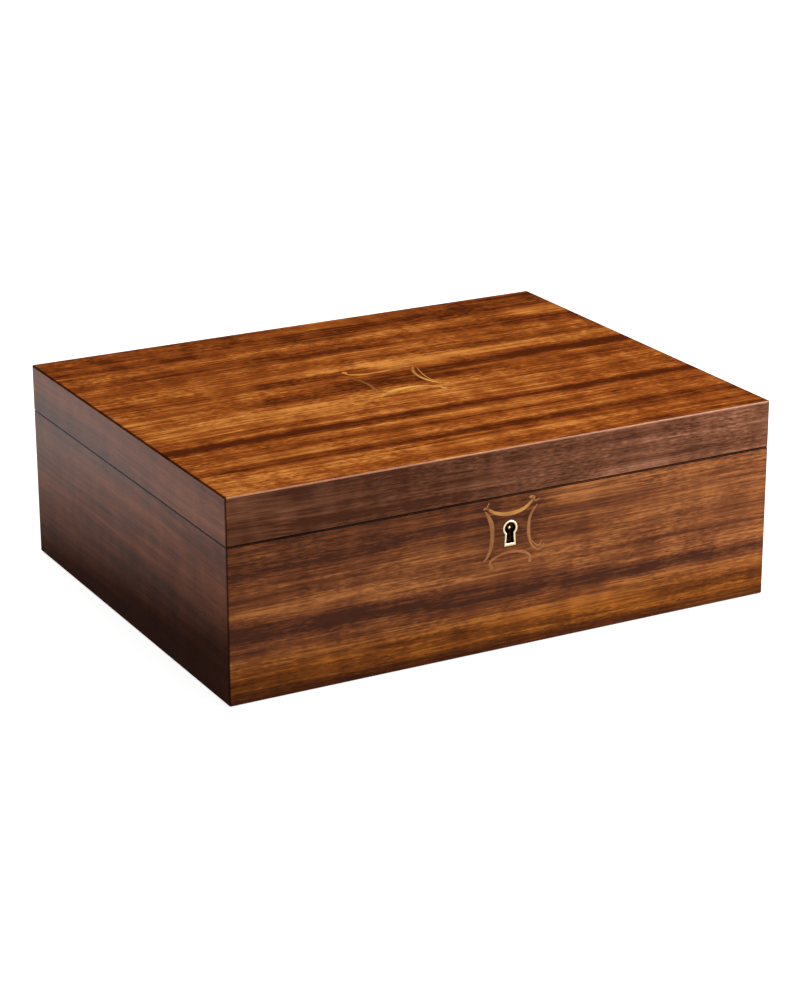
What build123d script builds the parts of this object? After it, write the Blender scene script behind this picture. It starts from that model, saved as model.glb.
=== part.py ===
from build123d import *
from math import cos, pi, radians, sin
import os

# A musical jewellery box: a veneered wooden case and hinged lid with a lock in the front wall,
# a divided tray that lifts out, and under glass in the back left corner a wind-up musical
# movement that plays while the lid is open. Millimetres, with +Z up, -Y the front, and the
# origin at the middle of the case where it rests on the table.

# Outside of the box
box_width = 305.0
box_depth = 240.0
box_height = 105.0
lid_height = 24.6
seam_gap = 0.4
wall = 10.0
corner_round = 1.0
rim_ease = 0.2
foot_ease = 0.4
veneer = 0.8
veneer_ease = 0.6
slip = 0.1

# Base, sound board and bays
felt_thickness = 1.2
base_thickness = 6.0
base_inset = 1.6
base_reveal = 0.3
key_hole_radius = 23.0
deck_level = 22.0
deck_thickness = 4.0
groove_depth = 3.0
arbor_passage = 5.0
pad_thickness = 2.0
bay_width = 70.5
bay_depth = 72.0
partition = 4.0
divider_height = 44.0
partition_height = 40.0
board_ease = 1.0
liner_thickness = 3.0
liner_height = 20.0

# Glass over the movement
ledge_size = 3.0
ledge_height = 4.0
glass_level = 62.0
glass_thickness = 2.5

# Tray
tray_gap = 1.0
tray_seat = 0.2
tray_height = 30.0
tray_wall = 5.0
tray_floor_thickness = 3.0
tray_rebate = 2.5
tray_edge = 0.8
divider_thickness = 3.0
divider_rise = 22.0
ring_row_depth = 66.5
middle_row_depth = 68.0
middle_compartments = 3
back_compartments = 2
velvet = 1.2
roll_radius = 6.5
roll_flat = 0.5
roll_count = 5
scoop_radius = 14.0
scoop_depth = 6.0

# Lid
lid_panel_thickness = 6.0
lid_rebate = 5.0
lining_thickness = 2.5
mirror_width = 212.0
mirror_depth = 152.0
mirror_thickness = 3.0
moulding_width = 13.0
moulding_thickness = 5.0
moulding_lap = 4.0
moulding_round = 2.0

# Inlaid ornaments: half the length of the long strokes, then how far their ends and middles,
# the ends of the short strokes, and the short strokes' ends and middles lie from the centre
front_ornament_drop = 19.1
front_ornament = (11.3, 13.8, 10.0, 11.6, 14.0, 10.3)
lid_ornament_at = (2.0, 3.7)
lid_ornament = (17.3, 20.9, 15.6, 15.0, 19.2, 15.0)
inlay_belly = 1.6

# Hinges
hinge_spread = 190.0
hinge_length = 38.0
leaf_width = 8.6
leaf_thickness = 1.6
knuckle_radius = 2.2
knuckle_count = 3
knuckle_gap = 0.2
hinge_pin_radius = 1.0
running = 0.06
hinge_standoff = 0.1

# Screws, drawn with a few flats each because there are many
screw_sides = 12
screw_radius = 1.1
screw_head_radius = 2.2
screw_head_depth = 1.6
screw_length = 8.0
base_screw_length = 14.0
base_screw_pitch = 210.0
hinge_screw_pitch = 22.0

# Lock
keyhole_depth = 16.8
escutcheon_radius = 4.1
escutcheon_wall = 1.3
escutcheon_neck = 5.4
escutcheon_foot = 6.7
escutcheon_drop = 9.2
escutcheon_depth = 2.6
escutcheon_proud = 0.2
lock_width = 40.0
lock_depth = 5.2
lock_height = 26.0
lock_wall = 0.8
lock_plate_thickness = 1.2
selvedge_length = 52.0
selvedge_width = 8.0
selvedge_thickness = 1.6
selvedge_screw_pitch = 45.0
drill_pin_radius = 0.9
drill_pin_length = 8.4
stud_spread = 18.0
bolt_thickness = 1.2
bolt_height = 4.2
bolt_throw = 4.5
prong_height = 2.2
prong_gap = 0.3
arm_width = 2.5
staple_pitch = 20.0
staple_thickness = 2.0
staple_width = 3.4
staple_web = 0.8
staple_play = 0.5
talon_width = 6.0
talon_depth = 2.8
guide_radius = 0.7
key_bow_radius = 7.0
key_bow_hole = 4.4
key_bow_thickness = 2.0
key_shank_radius = 2.1
key_pipe_radius = 1.0
key_pipe_depth = 9.0
key_length = 24.0
key_bit_reach = 6.3
key_bit_width = 4.0
key_bit_thickness = 1.6

# Musical movement, laid out from the spring barrel's axis
barrel_to_left_wall = 51.5
barrel_to_back_wall = 36.0
bedplate_thickness = 3.0
bedplate_front = 25.0
bedplate_back = 26.5
bedplate_right = 15.5
bedplate_left = 48.0
bedplate_corner = 2.0
crown_teeth = 32
crown_module = 0.75
crown_face = 1.8
crown_rim = 13.2
flange_gap = 1.0
flange_thickness = 1.8
pinion_teeth = 12
pinion_face = 1.6
drum_radius = 10.2
drum_wall = 0.8
drum_height = 12.7
barrel_cap_thickness = 0.8
spring_strip = 0.35
spring_turns = 3
arbor_radius = 2.0
arbor_bottom = 9.0
arbor_standing = 1.0
key_hub_radius = 3.3
key_hub_height = 11.0
key_lobe_radius = 5.4
key_lobe_spread = 6.6
key_plate = 2.2
cylinder_radius = 6.5
cylinder_length = 17.2
cylinder_gap = 1.1
note_count = 18
comb_gap = 1.0
comb_thickness = 1.0
comb_back = 16.5
comb_slot = 0.2
bass_root = 6.0
treble_root = 9.8
comb_seat_depth = 5.8
comb_screw_inset = 3.0
comb_screw_depth = 4.0
comb_screw_cap = 0.9
comb_screw_radius = 1.0
comb_screw_head = 1.9
comb_screw_pitch = 10.4
journal_radius = 0.9
pillar_thickness = 1.4
wheel_teeth = 30
wheel_module = 0.45
wheel_face = 1.4
leaf_pinion_teeth = 8
train_teeth = 24
train_module = 0.4
train_face = 1.2
train_angle = 20.6
worm_wheel_teeth = 20
worm_wheel_angle = -29.0
train_shaft_radius = 0.6
plate_thickness = 1.0
worm_pitch_radius = 1.6
worm_root_radius = 1.15
worm_tip_radius = 1.95
worm_turns = 2.5
worm_shaft_radius = 0.5
fan_radius = 4.5
fan_blade = 0.5
fan_hub_radius = 1.5
drum_brake_radius = 2.4
drum_brake_height = 1.4
stop_wire_radius = 0.9
stop_travel = 4.0
stop_pad_gap = 0.2
stop_pad = 1.6
movement_screw_radius = 1.2
movement_screw_head = 2.4
movement_screw_length = 6.0
movement_screw_cap = 1.4

# Levels and outlines that follow from the sizes above
case_top = box_height - lid_height - seam_gap
lid_bottom = case_top + seam_gap
lid_top = box_height - veneer
inner_width = box_width - 2 * wall
inner_depth = box_depth - 2 * wall
base_width = box_width - 2 * base_inset
base_depth = box_depth - 2 * base_inset
base_top = felt_thickness + base_thickness
deck_top = deck_level + deck_thickness
pad_top = deck_top + pad_thickness
front_face = -box_depth / 2
front_inside = front_face + wall
back_inside = box_depth / 2 - wall
left_inside = -box_width / 2 + wall
right_inside = box_width / 2 - wall
bay_right = left_inside + bay_width
bay_front = back_inside - bay_depth
main_left = bay_right + partition
keyhole_level = case_top - keyhole_depth
lock_floor = case_top - lock_height
front_ornament_at = (0, case_top - front_ornament_drop)
barrel_x = left_inside + barrel_to_left_wall
barrel_y = back_inside - barrel_to_back_wall


def mitre_outline(side, width, depth, reach):
    """Plan of one side of a mitred frame, between its two 45 degree cuts."""
    w, d = width / 2, depth / 2
    return {
        "front": [(-w, -d), (w, -d), (w - reach, reach - d), (reach - w, reach - d)],
        "back": [(w, d), (-w, d), (reach - w, d - reach), (w - reach, d - reach)],
        "left": [(-w, d), (-w, -d), (reach - w, reach - d), (reach - w, d - reach)],
        "right": [(w, -d), (w, d), (w - reach, d - reach), (w - reach, reach - d)],
    }[side]


def mitred_frame(ring, width, depth, reach, shift=0):
    """A ring cut at its corners into four separate sides, moved along X."""
    sides = []
    for side in ("front", "back", "left", "right"):
        with BuildPart() as cut:
            add(ring.part)
            cut_mitre(side, width, depth, reach)
        sides.append(Compound(cut.part.moved(Location((shift, 0, 0))).wrapped))
    return Part(children=sides)


def outer_corners(part, half_width):
    """The upright edges at the outside corners of a frame."""
    return part.edges().filter_by(Axis.Z).filter_by(lambda e: abs(e.center().X) > half_width)


def cut_mitre(side, width, depth, reach):
    """Keeps one side of the frame that is in the part being built."""
    with BuildSketch(Plane.XY) as plan:
        with BuildLine():
            Polyline(*mitre_outline(side, width, depth, reach), close=True)
        make_face()
    extrude(plan.sketch, amount=box_height, mode=Mode.INTERSECT)


# Ornament: four curved strokes of pale wood round a centre, thickest in their middles
def stroke(start, middle, end):
    """One crescent, from start to end by way of middle."""
    along = (Vector(*end) - Vector(*start)).normalized()
    across = Vector(-along.Y, along.X)
    with BuildLine() as crescent:
        for side in (1, -1):
            ThreePointArc(start, tuple(Vector(*middle) + across * (side * inlay_belly / 2))[:2], end)
    make_face(crescent.edges())


def ornament(middle, shape):
    """Four strokes round the middle."""
    half, end, dip, flank, side_end, side_dip = shape
    x, y = middle
    for way in (1, -1):
        stroke((x - half, y + way * end), (x, y + way * dip), (x + half, y + way * end))
        stroke(
            (x + way * side_end, y - flank),
            (x + way * side_dip, y),
            (x + way * side_end, y + flank),
        )


# Keyhole: a round eye over a flared tail
keyhole_drop = escutcheon_drop - 1.8 * escutcheon_wall
keyhole_radius = escutcheon_radius - escutcheon_wall
keyhole_neck = escutcheon_neck - 2 * escutcheon_wall
keyhole_foot = escutcheon_foot - 2 * escutcheon_wall


def keyhole(radius, neck, foot, drop):
    """Keyhole outline about the key's axis."""
    with Locations((0, keyhole_level)):
        Circle(radius)
    with BuildLine() as tail:
        Polyline(
            (-neck / 2, keyhole_level),
            (neck / 2, keyhole_level),
            (foot / 2, keyhole_level - drop),
            (-foot / 2, keyhole_level - drop),
            close=True,
        )
    make_face(tail.edges())


# Lock places, from the inside face of the front wall forwards
lock_back = front_inside - lock_plate_thickness
lock_front = lock_back - lock_depth
bolt_middle = lock_back - lock_depth / 2 + lock_wall / 2
bolt_bottom = keyhole_level + key_bit_reach - talon_depth + slip
bolt_top = bolt_bottom + bolt_height
staple_bottom = bolt_top + 2 * prong_gap
prong_bottom = staple_bottom + staple_web + prong_gap
screw_y_lock = front_inside - selvedge_width / 2

# Hinge places
hinge_axis_y = box_depth / 2 + knuckle_radius + hinge_standoff
hinge_axis_z = case_top + seam_gap / 2
leaf_front = box_depth / 2 - leaf_width
knuckle_pitch = hinge_length / knuckle_count
hinge_screw_y = leaf_front + leaf_width / 2 - 2 * slip
hinge_centres = (-hinge_spread / 2, hinge_spread / 2)
hinge_screws = [
    (x + i * hinge_screw_pitch / 2, hinge_screw_y) for x in hinge_centres for i in (-1, 1)
]
lock_screws = [(i * selvedge_screw_pitch / 2, screw_y_lock) for i in (-1, 1)]
base_screw_y = box_depth / 2 - 0.6 * wall
base_screws_at = [
    (x * base_screw_pitch / 2, y) for x in (-1, 1) for y in (-base_screw_y, base_screw_y)
]


def leaf_mortises(level):
    """Mortises for the two hinge leaves, from the level up by a leaf's thickness."""
    with BuildSketch(Plane.XY.offset(level)) as beds:
        with Locations(*[(x, box_depth / 2 - leaf_width / 2) for x in hinge_centres]):
            Rectangle(hinge_length + 2 * slip, leaf_width)
    extrude(beds.sketch, amount=leaf_thickness, mode=Mode.SUBTRACT)


def wood_screws(places, level, turned=0, length=screw_length, mode=Mode.ADD):
    """Countersunk wood screws, or their holes, with their heads flush at the level."""
    with BuildPart() as screw:
        with BuildSketch(Plane.XY):
            RegularPolygon(screw_head_radius, screw_sides)
        with BuildSketch(Plane.XY.offset(-screw_head_depth)):
            RegularPolygon(screw_radius, screw_sides)
        loft(ruled=True)
        with BuildSketch(Plane.XY.offset(-screw_head_depth)):
            RegularPolygon(screw_radius, screw_sides)
        extrude(amount=screw_head_depth - length)
    for x, y in places:
        add(screw.part.moved(Location((x, y, level), (turned, 0, 0))), mode=mode)


def machine_screws(places, level, turned, radius, head_radius, head, length):
    """Cheese-headed machine screws whose heads bear on the level."""
    with BuildPart() as screw:
        with BuildSketch(Plane.XY):
            RegularPolygon(head_radius, screw_sides)
        extrude(amount=head)
        with BuildSketch(Plane.XY):
            RegularPolygon(radius, screw_sides)
        extrude(amount=-length)
    for x, y in places:
        add(screw.part.moved(Location((x, y, level), (turned, 0, 0))))


def screw_holes(places, level, radius, depth):
    """Plain holes for machine screws, from the level down."""
    with BuildSketch(Plane.XY.offset(level)) as openings:
        with Locations(*places):
            RegularPolygon(radius, screw_sides)
    extrude(openings.sketch, amount=-depth, mode=Mode.SUBTRACT)


# Stop rod place: it slides in the left wall, beside the governor
train_distance = wheel_module * (wheel_teeth + leaf_pinion_teeth) / 2
second_distance = train_module * (train_teeth + leaf_pinion_teeth) / 2
worm_distance = train_module * worm_wheel_teeth / 2 + worm_pitch_radius
first_y = barrel_y + train_distance * cos(radians(train_angle))
second_y = first_y + second_distance * cos(radians(worm_wheel_angle))
worm_y = second_y + worm_distance
rod_x = left_inside - wall / 2

# Movement levels, from the sound board up
bedplate_top = deck_top + bedplate_thickness
flange_bottom = bedplate_top + flange_gap
flange_top = flange_bottom + flange_thickness
crown_radius = crown_teeth * crown_module / 2
pinion_radius = pinion_teeth * crown_module / 2
crown_pitch_level = flange_top + crown_module * 1.07
axis_z = crown_pitch_level + pinion_radius
first_z = axis_z + train_distance * sin(radians(train_angle))
second_z = first_z + second_distance * sin(radians(worm_wheel_angle))

# Places along the cylinder's axis, from the barrel to the left
pinion_x = barrel_x - crown_radius
pillar_x = barrel_x - crown_rim - comb_gap + slip
cylinder_right = pillar_x - pillar_thickness - cylinder_gap
cylinder_left = cylinder_right - cylinder_length
cheek_x = cylinder_left - slip * 4
wheel_x = cheek_x - plate_thickness - 3 * slip
train_x = wheel_x - wheel_face - 13 * slip
worm_wheel_x = train_x - train_face - 9 * slip
far_cheek_x = worm_wheel_x - wheel_face - 11 * slip
worm_x = worm_wheel_x - wheel_face / 2
brake_bottom = axis_z + 9.0
rod_arm_z = brake_bottom + drum_brake_height / 2
fan_bottom = second_z + (worm_wheel_teeth / 2 + 1) * train_module + slip
fan_height = brake_bottom - 8 * slip - fan_bottom
worm_top = brake_bottom + drum_brake_height + stop_travel - 8 * slip

os.makedirs("parts", exist_ok=True)


def keep(part, name):
    """Labels a finished piece and writes it as one file."""
    part.label = name
    export_step(part, f"parts/{name}.step")


# Case: one carcass, rebated for the base and grooved for the sound board, that is cut at the
# mitres into its four walls
with BuildPart() as carcass:
    with BuildSketch(Plane.XY.offset(base_reveal)):
        Rectangle(box_width, box_depth)
    extrude(amount=case_top - base_reveal)
    fillet(outer_corners(carcass, inner_width / 2), corner_round)
    chamfer(carcass.faces().sort_by(Axis.Z)[-1].edges(), rim_ease)
    chamfer(carcass.faces().sort_by(Axis.Z)[0].edges(), min(foot_ease, 0.8 * base_inset))
    with BuildSketch(Plane.XY.offset(base_reveal)):
        Rectangle(inner_width, inner_depth)
    extrude(amount=case_top - base_reveal, mode=Mode.SUBTRACT)
    with BuildSketch(Plane.XY.offset(base_reveal)):
        Rectangle(base_width + 2 * slip, base_depth + 2 * slip)
    extrude(amount=base_top - base_reveal, mode=Mode.SUBTRACT)
    with BuildSketch(Plane.XY.offset(deck_level)):
        Rectangle(inner_width + 2 * groove_depth, inner_depth + 2 * groove_depth)
    extrude(amount=deck_thickness, mode=Mode.SUBTRACT)
    wood_screws(base_screws_at, felt_thickness, 180, base_screw_length, Mode.SUBTRACT)

with BuildPart() as front_panel:
    add(carcass.part)
    cut_mitre("front", box_width, box_depth, wall)
    # mortise for the lock, open to the inside and to the rim
    with BuildSketch(Plane.XY.offset(lock_floor - slip)):
        with Locations((0, front_inside)):
            Rectangle(
                lock_width + 2 * slip,
                front_inside - lock_front + slip,
                align=(Align.CENTER, Align.MAX),
            )
    extrude(amount=case_top, mode=Mode.SUBTRACT)
    with BuildSketch(Plane.XY.offset(case_top - selvedge_thickness)):
        with Locations((0, front_inside)):
            Rectangle(selvedge_length + 2 * slip, selvedge_width + slip, align=(Align.CENTER, Align.MAX))
    extrude(amount=wall, mode=Mode.SUBTRACT)
    with BuildSketch(Plane.XZ.offset(-front_face)):
        keyhole(escutcheon_radius, escutcheon_neck, escutcheon_foot, escutcheon_drop)
    extrude(amount=-escutcheon_depth, mode=Mode.SUBTRACT)
    with BuildSketch(Plane.XZ.offset(-front_face)):
        keyhole(keyhole_radius, keyhole_neck, keyhole_foot, keyhole_drop)
    extrude(amount=-wall, mode=Mode.SUBTRACT)
    with BuildSketch(Plane.XZ.offset(-front_face)):
        ornament(front_ornament_at, front_ornament)
    extrude(amount=-veneer, mode=Mode.SUBTRACT)
    wood_screws(lock_screws, case_top, mode=Mode.SUBTRACT)
keep(front_panel.part, "front_panel")

with BuildPart() as front_inlay:
    with BuildSketch(Plane.XZ.offset(-front_face)):
        ornament(front_ornament_at, front_ornament)
    extrude(amount=-veneer)
keep(front_inlay.part, "front_inlay")

with BuildPart() as back_panel:
    add(carcass.part)
    cut_mitre("back", box_width, box_depth, wall)
    leaf_mortises(case_top - leaf_thickness)
    wood_screws(hinge_screws, case_top, mode=Mode.SUBTRACT)
keep(back_panel.part, "back_panel")

with BuildPart() as left_panel:
    add(carcass.part)
    cut_mitre("left", box_width, box_depth, wall)
    # upright bore for the stop rod, and the slot that its arm leaves by
    slot_foot = rod_arm_z - stop_wire_radius - 4 * slip
    with BuildSketch(Plane.XY.offset(slot_foot)):
        with Locations((rod_x, worm_y)):
            Circle(stop_wire_radius + 2 * slip)
    extrude(amount=case_top, mode=Mode.SUBTRACT)
    with BuildSketch(Plane.XY.offset(slot_foot)):
        with Locations((rod_x, worm_y)):
            Rectangle(wall, 2 * stop_wire_radius + 4 * slip, align=(Align.MIN, Align.CENTER))
    extrude(amount=stop_travel + 4 * stop_wire_radius + 4 * slip, mode=Mode.SUBTRACT)
keep(left_panel.part, "left_panel")

with BuildPart() as right_panel:
    add(carcass.part)
    cut_mitre("right", box_width, box_depth, wall)
keep(right_panel.part, "right_panel")

with BuildPart() as base_panel:
    with BuildSketch(Plane.XY.offset(felt_thickness)):
        RectangleRounded(base_width, base_depth, corner_round)
        with Locations((barrel_x, barrel_y)):
            Circle(key_hole_radius, mode=Mode.SUBTRACT)
    extrude(amount=base_thickness)
    wood_screws(base_screws_at, felt_thickness, 180, base_screw_length, Mode.SUBTRACT)
keep(base_panel.part, "base_panel")

with BuildPart() as base_screws:
    wood_screws(base_screws_at, felt_thickness, 180, base_screw_length)
keep(base_screws.part, "base_screws")

with BuildPart() as base_felt:
    with BuildSketch(Plane.XY):
        RectangleRounded(base_width, base_depth, corner_round)
        with Locations((barrel_x, barrel_y)):
            Circle(key_hole_radius, mode=Mode.SUBTRACT)
    extrude(amount=felt_thickness)
keep(base_felt.part, "base_felt")

# Sound board: the movement is screwed to it from below, and it carries the bays
bed_left = barrel_x - bedplate_left
bed_right = barrel_x + bedplate_right
bed_front = barrel_y - bedplate_front
bed_back = barrel_y + bedplate_back
bed_middle = ((bed_left + bed_right) / 2, (bed_front + bed_back) / 2)
screw_inset = 1.6 * movement_screw_head
movement_screw_places = [
    (bed_right - screw_inset, bed_front + screw_inset),
    (bed_right - screw_inset, bed_back - screw_inset),
    (bed_left + screw_inset, bed_front + screw_inset),
]

with BuildPart() as sound_board:
    with BuildSketch(Plane.XY.offset(deck_level)):
        Rectangle(
            inner_width + 2 * groove_depth - 2 * slip,
            inner_depth + 2 * groove_depth - 2 * slip,
        )
        with Locations((barrel_x, barrel_y)):
            Circle(arbor_passage, mode=Mode.SUBTRACT)
        with Locations(*movement_screw_places):
            RegularPolygon(movement_screw_radius, screw_sides, mode=Mode.SUBTRACT)
    extrude(amount=deck_thickness)
keep(sound_board.part, "sound_board")

with BuildPart() as bay_divider:
    with BuildSketch(Plane.XY.offset(deck_top)):
        with Locations((bay_right, 0)):
            Rectangle(partition, inner_depth, align=(Align.MIN, Align.CENTER))
    extrude(amount=divider_height)
    fillet(bay_divider.faces().sort_by(Axis.Z)[-1].edges().filter_by(Axis.Y), board_ease)
keep(bay_divider.part, "bay_divider")

with BuildPart() as movement_partition:
    with BuildSketch(Plane.XY.offset(deck_top)):
        with Locations((left_inside, bay_front)):
            Rectangle(bay_width, partition, align=(Align.MIN, Align.MAX))
    extrude(amount=partition_height)
    fillet(movement_partition.faces().sort_by(Axis.Z)[-1].edges().filter_by(Axis.X), board_ease)
keep(movement_partition.part, "movement_partition")

main_width = right_inside - main_left
main_middle = (right_inside + main_left) / 2

# Velvet-covered boards that line the main bay and carry the tray on their top edges
with BuildPart() as tray_liners:
    with BuildSketch(Plane.XY.offset(deck_top)):
        with Locations((main_middle, 0)):
            Rectangle(main_width, inner_depth)
            Rectangle(main_width - 2 * liner_thickness, inner_depth - 2 * liner_thickness, mode=Mode.SUBTRACT)
            for way in (-1, 1):
                with Locations((way * (main_width / 2 - liner_thickness / 2), 0)):
                    Rectangle(liner_thickness, inner_depth - 2 * liner_thickness, mode=Mode.SUBTRACT)
    extrude(amount=liner_height)
    with BuildSketch(Plane.XY.offset(deck_top)):
        for way in (-1, 1):
            with Locations((main_middle + way * (main_width / 2 - liner_thickness / 2), 0)):
                Rectangle(liner_thickness, inner_depth - 2 * liner_thickness - 2 * slip)
    extrude(amount=liner_height)
keep(tray_liners.part, "tray_liners")

left_bay_depth = inner_depth - bay_depth - partition
with BuildPart() as floor_pads:
    with BuildSketch(Plane.XY.offset(deck_top)):
        with Locations((main_middle, 0)):
            Rectangle(
                main_width - 2 * liner_thickness - 2 * slip,
                inner_depth - 2 * liner_thickness - 2 * slip,
            )
        with Locations((left_inside + bay_width / 2, front_inside + left_bay_depth / 2)):
            Rectangle(bay_width - 2 * slip, left_bay_depth - 2 * slip)
    extrude(amount=pad_thickness)
keep(floor_pads.part, "floor_pads")

# Ledges round the movement bay, with the glass lying on them
with BuildPart() as glass_ledges:
    with BuildSketch(Plane.XY.offset(glass_level - ledge_height)):
        with Locations((left_inside, back_inside), (left_inside, bay_front + ledge_size)):
            Rectangle(bay_width, ledge_size, align=(Align.MIN, Align.MAX))
    extrude(amount=ledge_height)
    with BuildSketch(Plane.XY.offset(glass_level - ledge_height)):
        with Locations(
            (left_inside + ledge_size / 2, back_inside - bay_depth / 2),
            (bay_right - ledge_size / 2, back_inside - bay_depth / 2),
        ):
            Rectangle(ledge_size, bay_depth - 2 * ledge_size - 2 * slip)
    extrude(amount=ledge_height)
keep(glass_ledges.part, "glass_ledges")

with BuildPart() as movement_glass:
    with BuildSketch(Plane.XY.offset(glass_level)):
        with Locations((left_inside + bay_width / 2, back_inside - bay_depth / 2)):
            Rectangle(bay_width - 4 * slip, bay_depth - 4 * slip)
    extrude(amount=glass_thickness)
    chamfer(movement_glass.faces().sort_by(Axis.Z)[-1].edges(), 3 * slip)
keep(movement_glass.part, "movement_glass")

# Lid: a mitred frame, rebated at the top for the panel, under one sheet of veneer
with BuildPart() as lid_ring:
    with BuildSketch(Plane.XY.offset(lid_bottom)):
        Rectangle(box_width, box_depth)
    extrude(amount=lid_top - lid_bottom)
    fillet(outer_corners(lid_ring, inner_width / 2), corner_round)
    chamfer(lid_ring.faces().sort_by(Axis.Z)[0].edges(), rim_ease)
    with BuildSketch(Plane.XY.offset(lid_bottom)):
        Rectangle(inner_width, inner_depth)
    extrude(amount=lid_top - lid_bottom, mode=Mode.SUBTRACT)
    with BuildSketch(Plane.XY.offset(lid_top - lid_panel_thickness)):
        Rectangle(box_width - 2 * lid_rebate, box_depth - 2 * lid_rebate)
    extrude(amount=lid_panel_thickness, mode=Mode.SUBTRACT)

with BuildPart() as lid_front_rail:
    add(lid_ring.part)
    cut_mitre("front", box_width, box_depth, wall)
    with BuildSketch(Plane.XY.offset(lid_bottom)):
        with Locations((0, front_inside)):
            Rectangle(selvedge_length + 2 * slip, selvedge_width + slip, align=(Align.CENTER, Align.MAX))
    extrude(amount=selvedge_thickness, mode=Mode.SUBTRACT)
    wood_screws(lock_screws, lid_bottom, 180, mode=Mode.SUBTRACT)
keep(lid_front_rail.part, "lid_front_rail")

with BuildPart() as lid_back_rail:
    add(lid_ring.part)
    cut_mitre("back", box_width, box_depth, wall)
    leaf_mortises(lid_bottom)
    wood_screws(hinge_screws, lid_bottom, 180, mode=Mode.SUBTRACT)
keep(lid_back_rail.part, "lid_back_rail")

with BuildPart() as lid_end_rails:
    add(lid_ring.part)
    cut_mitre("left", box_width, box_depth, wall)
    mirror(about=Plane.YZ)
keep(lid_end_rails.part, "lid_end_rails")

with BuildPart() as lid_panel:
    with BuildSketch(Plane.XY.offset(lid_top - lid_panel_thickness)):
        Rectangle(box_width - 2 * lid_rebate - 2 * slip, box_depth - 2 * lid_rebate - 2 * slip)
    extrude(amount=lid_panel_thickness)
keep(lid_panel.part, "lid_panel")

with BuildPart() as lid_veneer:
    with BuildSketch(Plane.XY.offset(lid_top)):
        RectangleRounded(box_width, box_depth, corner_round)
    extrude(amount=veneer)
    fillet(lid_veneer.faces().sort_by(Axis.Z)[-1].edges(), min(veneer_ease, 0.8 * veneer))
    with BuildSketch(Plane.XY.offset(lid_top)):
        ornament(lid_ornament_at, lid_ornament)
    extrude(amount=veneer, mode=Mode.SUBTRACT)
keep(lid_veneer.part, "lid_veneer")

with BuildPart() as lid_inlay:
    with BuildSketch(Plane.XY.offset(lid_top)):
        ornament(lid_ornament_at, lid_ornament)
    extrude(amount=veneer)
keep(lid_inlay.part, "lid_inlay")

# Inside the lid: a lined board, and a mirror held to it by a mitred moulding
lining_bottom = lid_top - lid_panel_thickness - lining_thickness
with BuildPart() as lid_lining:
    with BuildSketch(Plane.XY.offset(lining_bottom)):
        Rectangle(inner_width - 2 * slip, inner_depth - 2 * slip)
    extrude(amount=lining_thickness)
keep(lid_lining.part, "lid_lining")

with BuildPart() as mirror_glass:
    with BuildSketch(Plane.XY.offset(lining_bottom - mirror_thickness)):
        Rectangle(mirror_width, mirror_depth)
    extrude(amount=mirror_thickness)
keep(mirror_glass.part, "mirror_glass")

frame_width = mirror_width + 2 * (moulding_width - moulding_lap)
frame_depth = mirror_depth + 2 * (moulding_width - moulding_lap)
with BuildPart() as moulding_ring:
    with BuildSketch(Plane.XY.offset(lining_bottom - moulding_thickness)):
        Rectangle(frame_width, frame_depth)
        Rectangle(frame_width - 2 * moulding_width, frame_depth - 2 * moulding_width, mode=Mode.SUBTRACT)
    extrude(amount=moulding_thickness)
    lower_edges = moulding_ring.faces().sort_by(Axis.Z)[0].edges()
    fillet(lower_edges, min(moulding_round, 0.8 * (moulding_thickness - mirror_thickness)))
    with BuildSketch(Plane.XY.offset(lining_bottom - mirror_thickness - slip)):
        Rectangle(mirror_width + 2 * slip, mirror_depth + 2 * slip)
    extrude(amount=mirror_thickness + slip, mode=Mode.SUBTRACT)

keep(mitred_frame(moulding_ring, frame_width, frame_depth, moulding_width), "mirror_frame")

with BuildPart() as lid_screws:
    wood_screws(hinge_screws + lock_screws, lid_bottom, 180)
keep(lid_screws.part, "lid_screws")

with BuildPart() as case_screws:
    wood_screws(hinge_screws + lock_screws, case_top)
keep(case_screws.part, "case_screws")


def knuckle_span(index):
    """Middle and length of one knuckle along the hinge."""
    return (index - (knuckle_count - 1) / 2) * knuckle_pitch, knuckle_pitch - knuckle_gap


def hinge_leaf(level, knuckles, bore):
    """Both hinges' leaves lying from the level up, with their knuckles and screw holes."""
    with BuildSketch(Plane.XY.offset(level)) as plates:
        with Locations(*[(x, leaf_front) for x in hinge_centres]):
            Rectangle(hinge_length, leaf_width - slip, align=(Align.CENTER, Align.MIN))
        for index in knuckles:
            middle, span = knuckle_span(index)
            with Locations(*[(x + middle, leaf_front + leaf_width / 2) for x in hinge_centres]):
                Rectangle(span, hinge_axis_y - leaf_front - leaf_width / 2, align=(Align.CENTER, Align.MIN))
    extrude(plates.sketch, amount=leaf_thickness)
    for index in knuckles:
        middle, span = knuckle_span(index)
        with Locations(
            *[Location((x + middle, hinge_axis_y, hinge_axis_z), (0, 90, 0)) for x in hinge_centres]
        ):
            Cylinder(knuckle_radius, span)
    with Locations(*[Location((x, hinge_axis_y, hinge_axis_z), (0, 90, 0)) for x in hinge_centres]):
        Cylinder(bore, hinge_length, mode=Mode.SUBTRACT)


# Hinges: two leaves let into the rims, their knuckles turning on a pin behind the box
with BuildPart() as hinge_leaves_case:
    hinge_leaf(case_top - leaf_thickness, range(0, knuckle_count, 2), hinge_pin_radius)
    wood_screws(hinge_screws, case_top, mode=Mode.SUBTRACT)
keep(hinge_leaves_case.part, "hinge_leaves_case")

with BuildPart() as hinge_leaves_lid:
    hinge_leaf(lid_bottom, range(1, knuckle_count, 2), hinge_pin_radius + running)
    wood_screws(hinge_screws, lid_bottom, 180, mode=Mode.SUBTRACT)
keep(hinge_leaves_lid.part, "hinge_leaves_lid")

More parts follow.
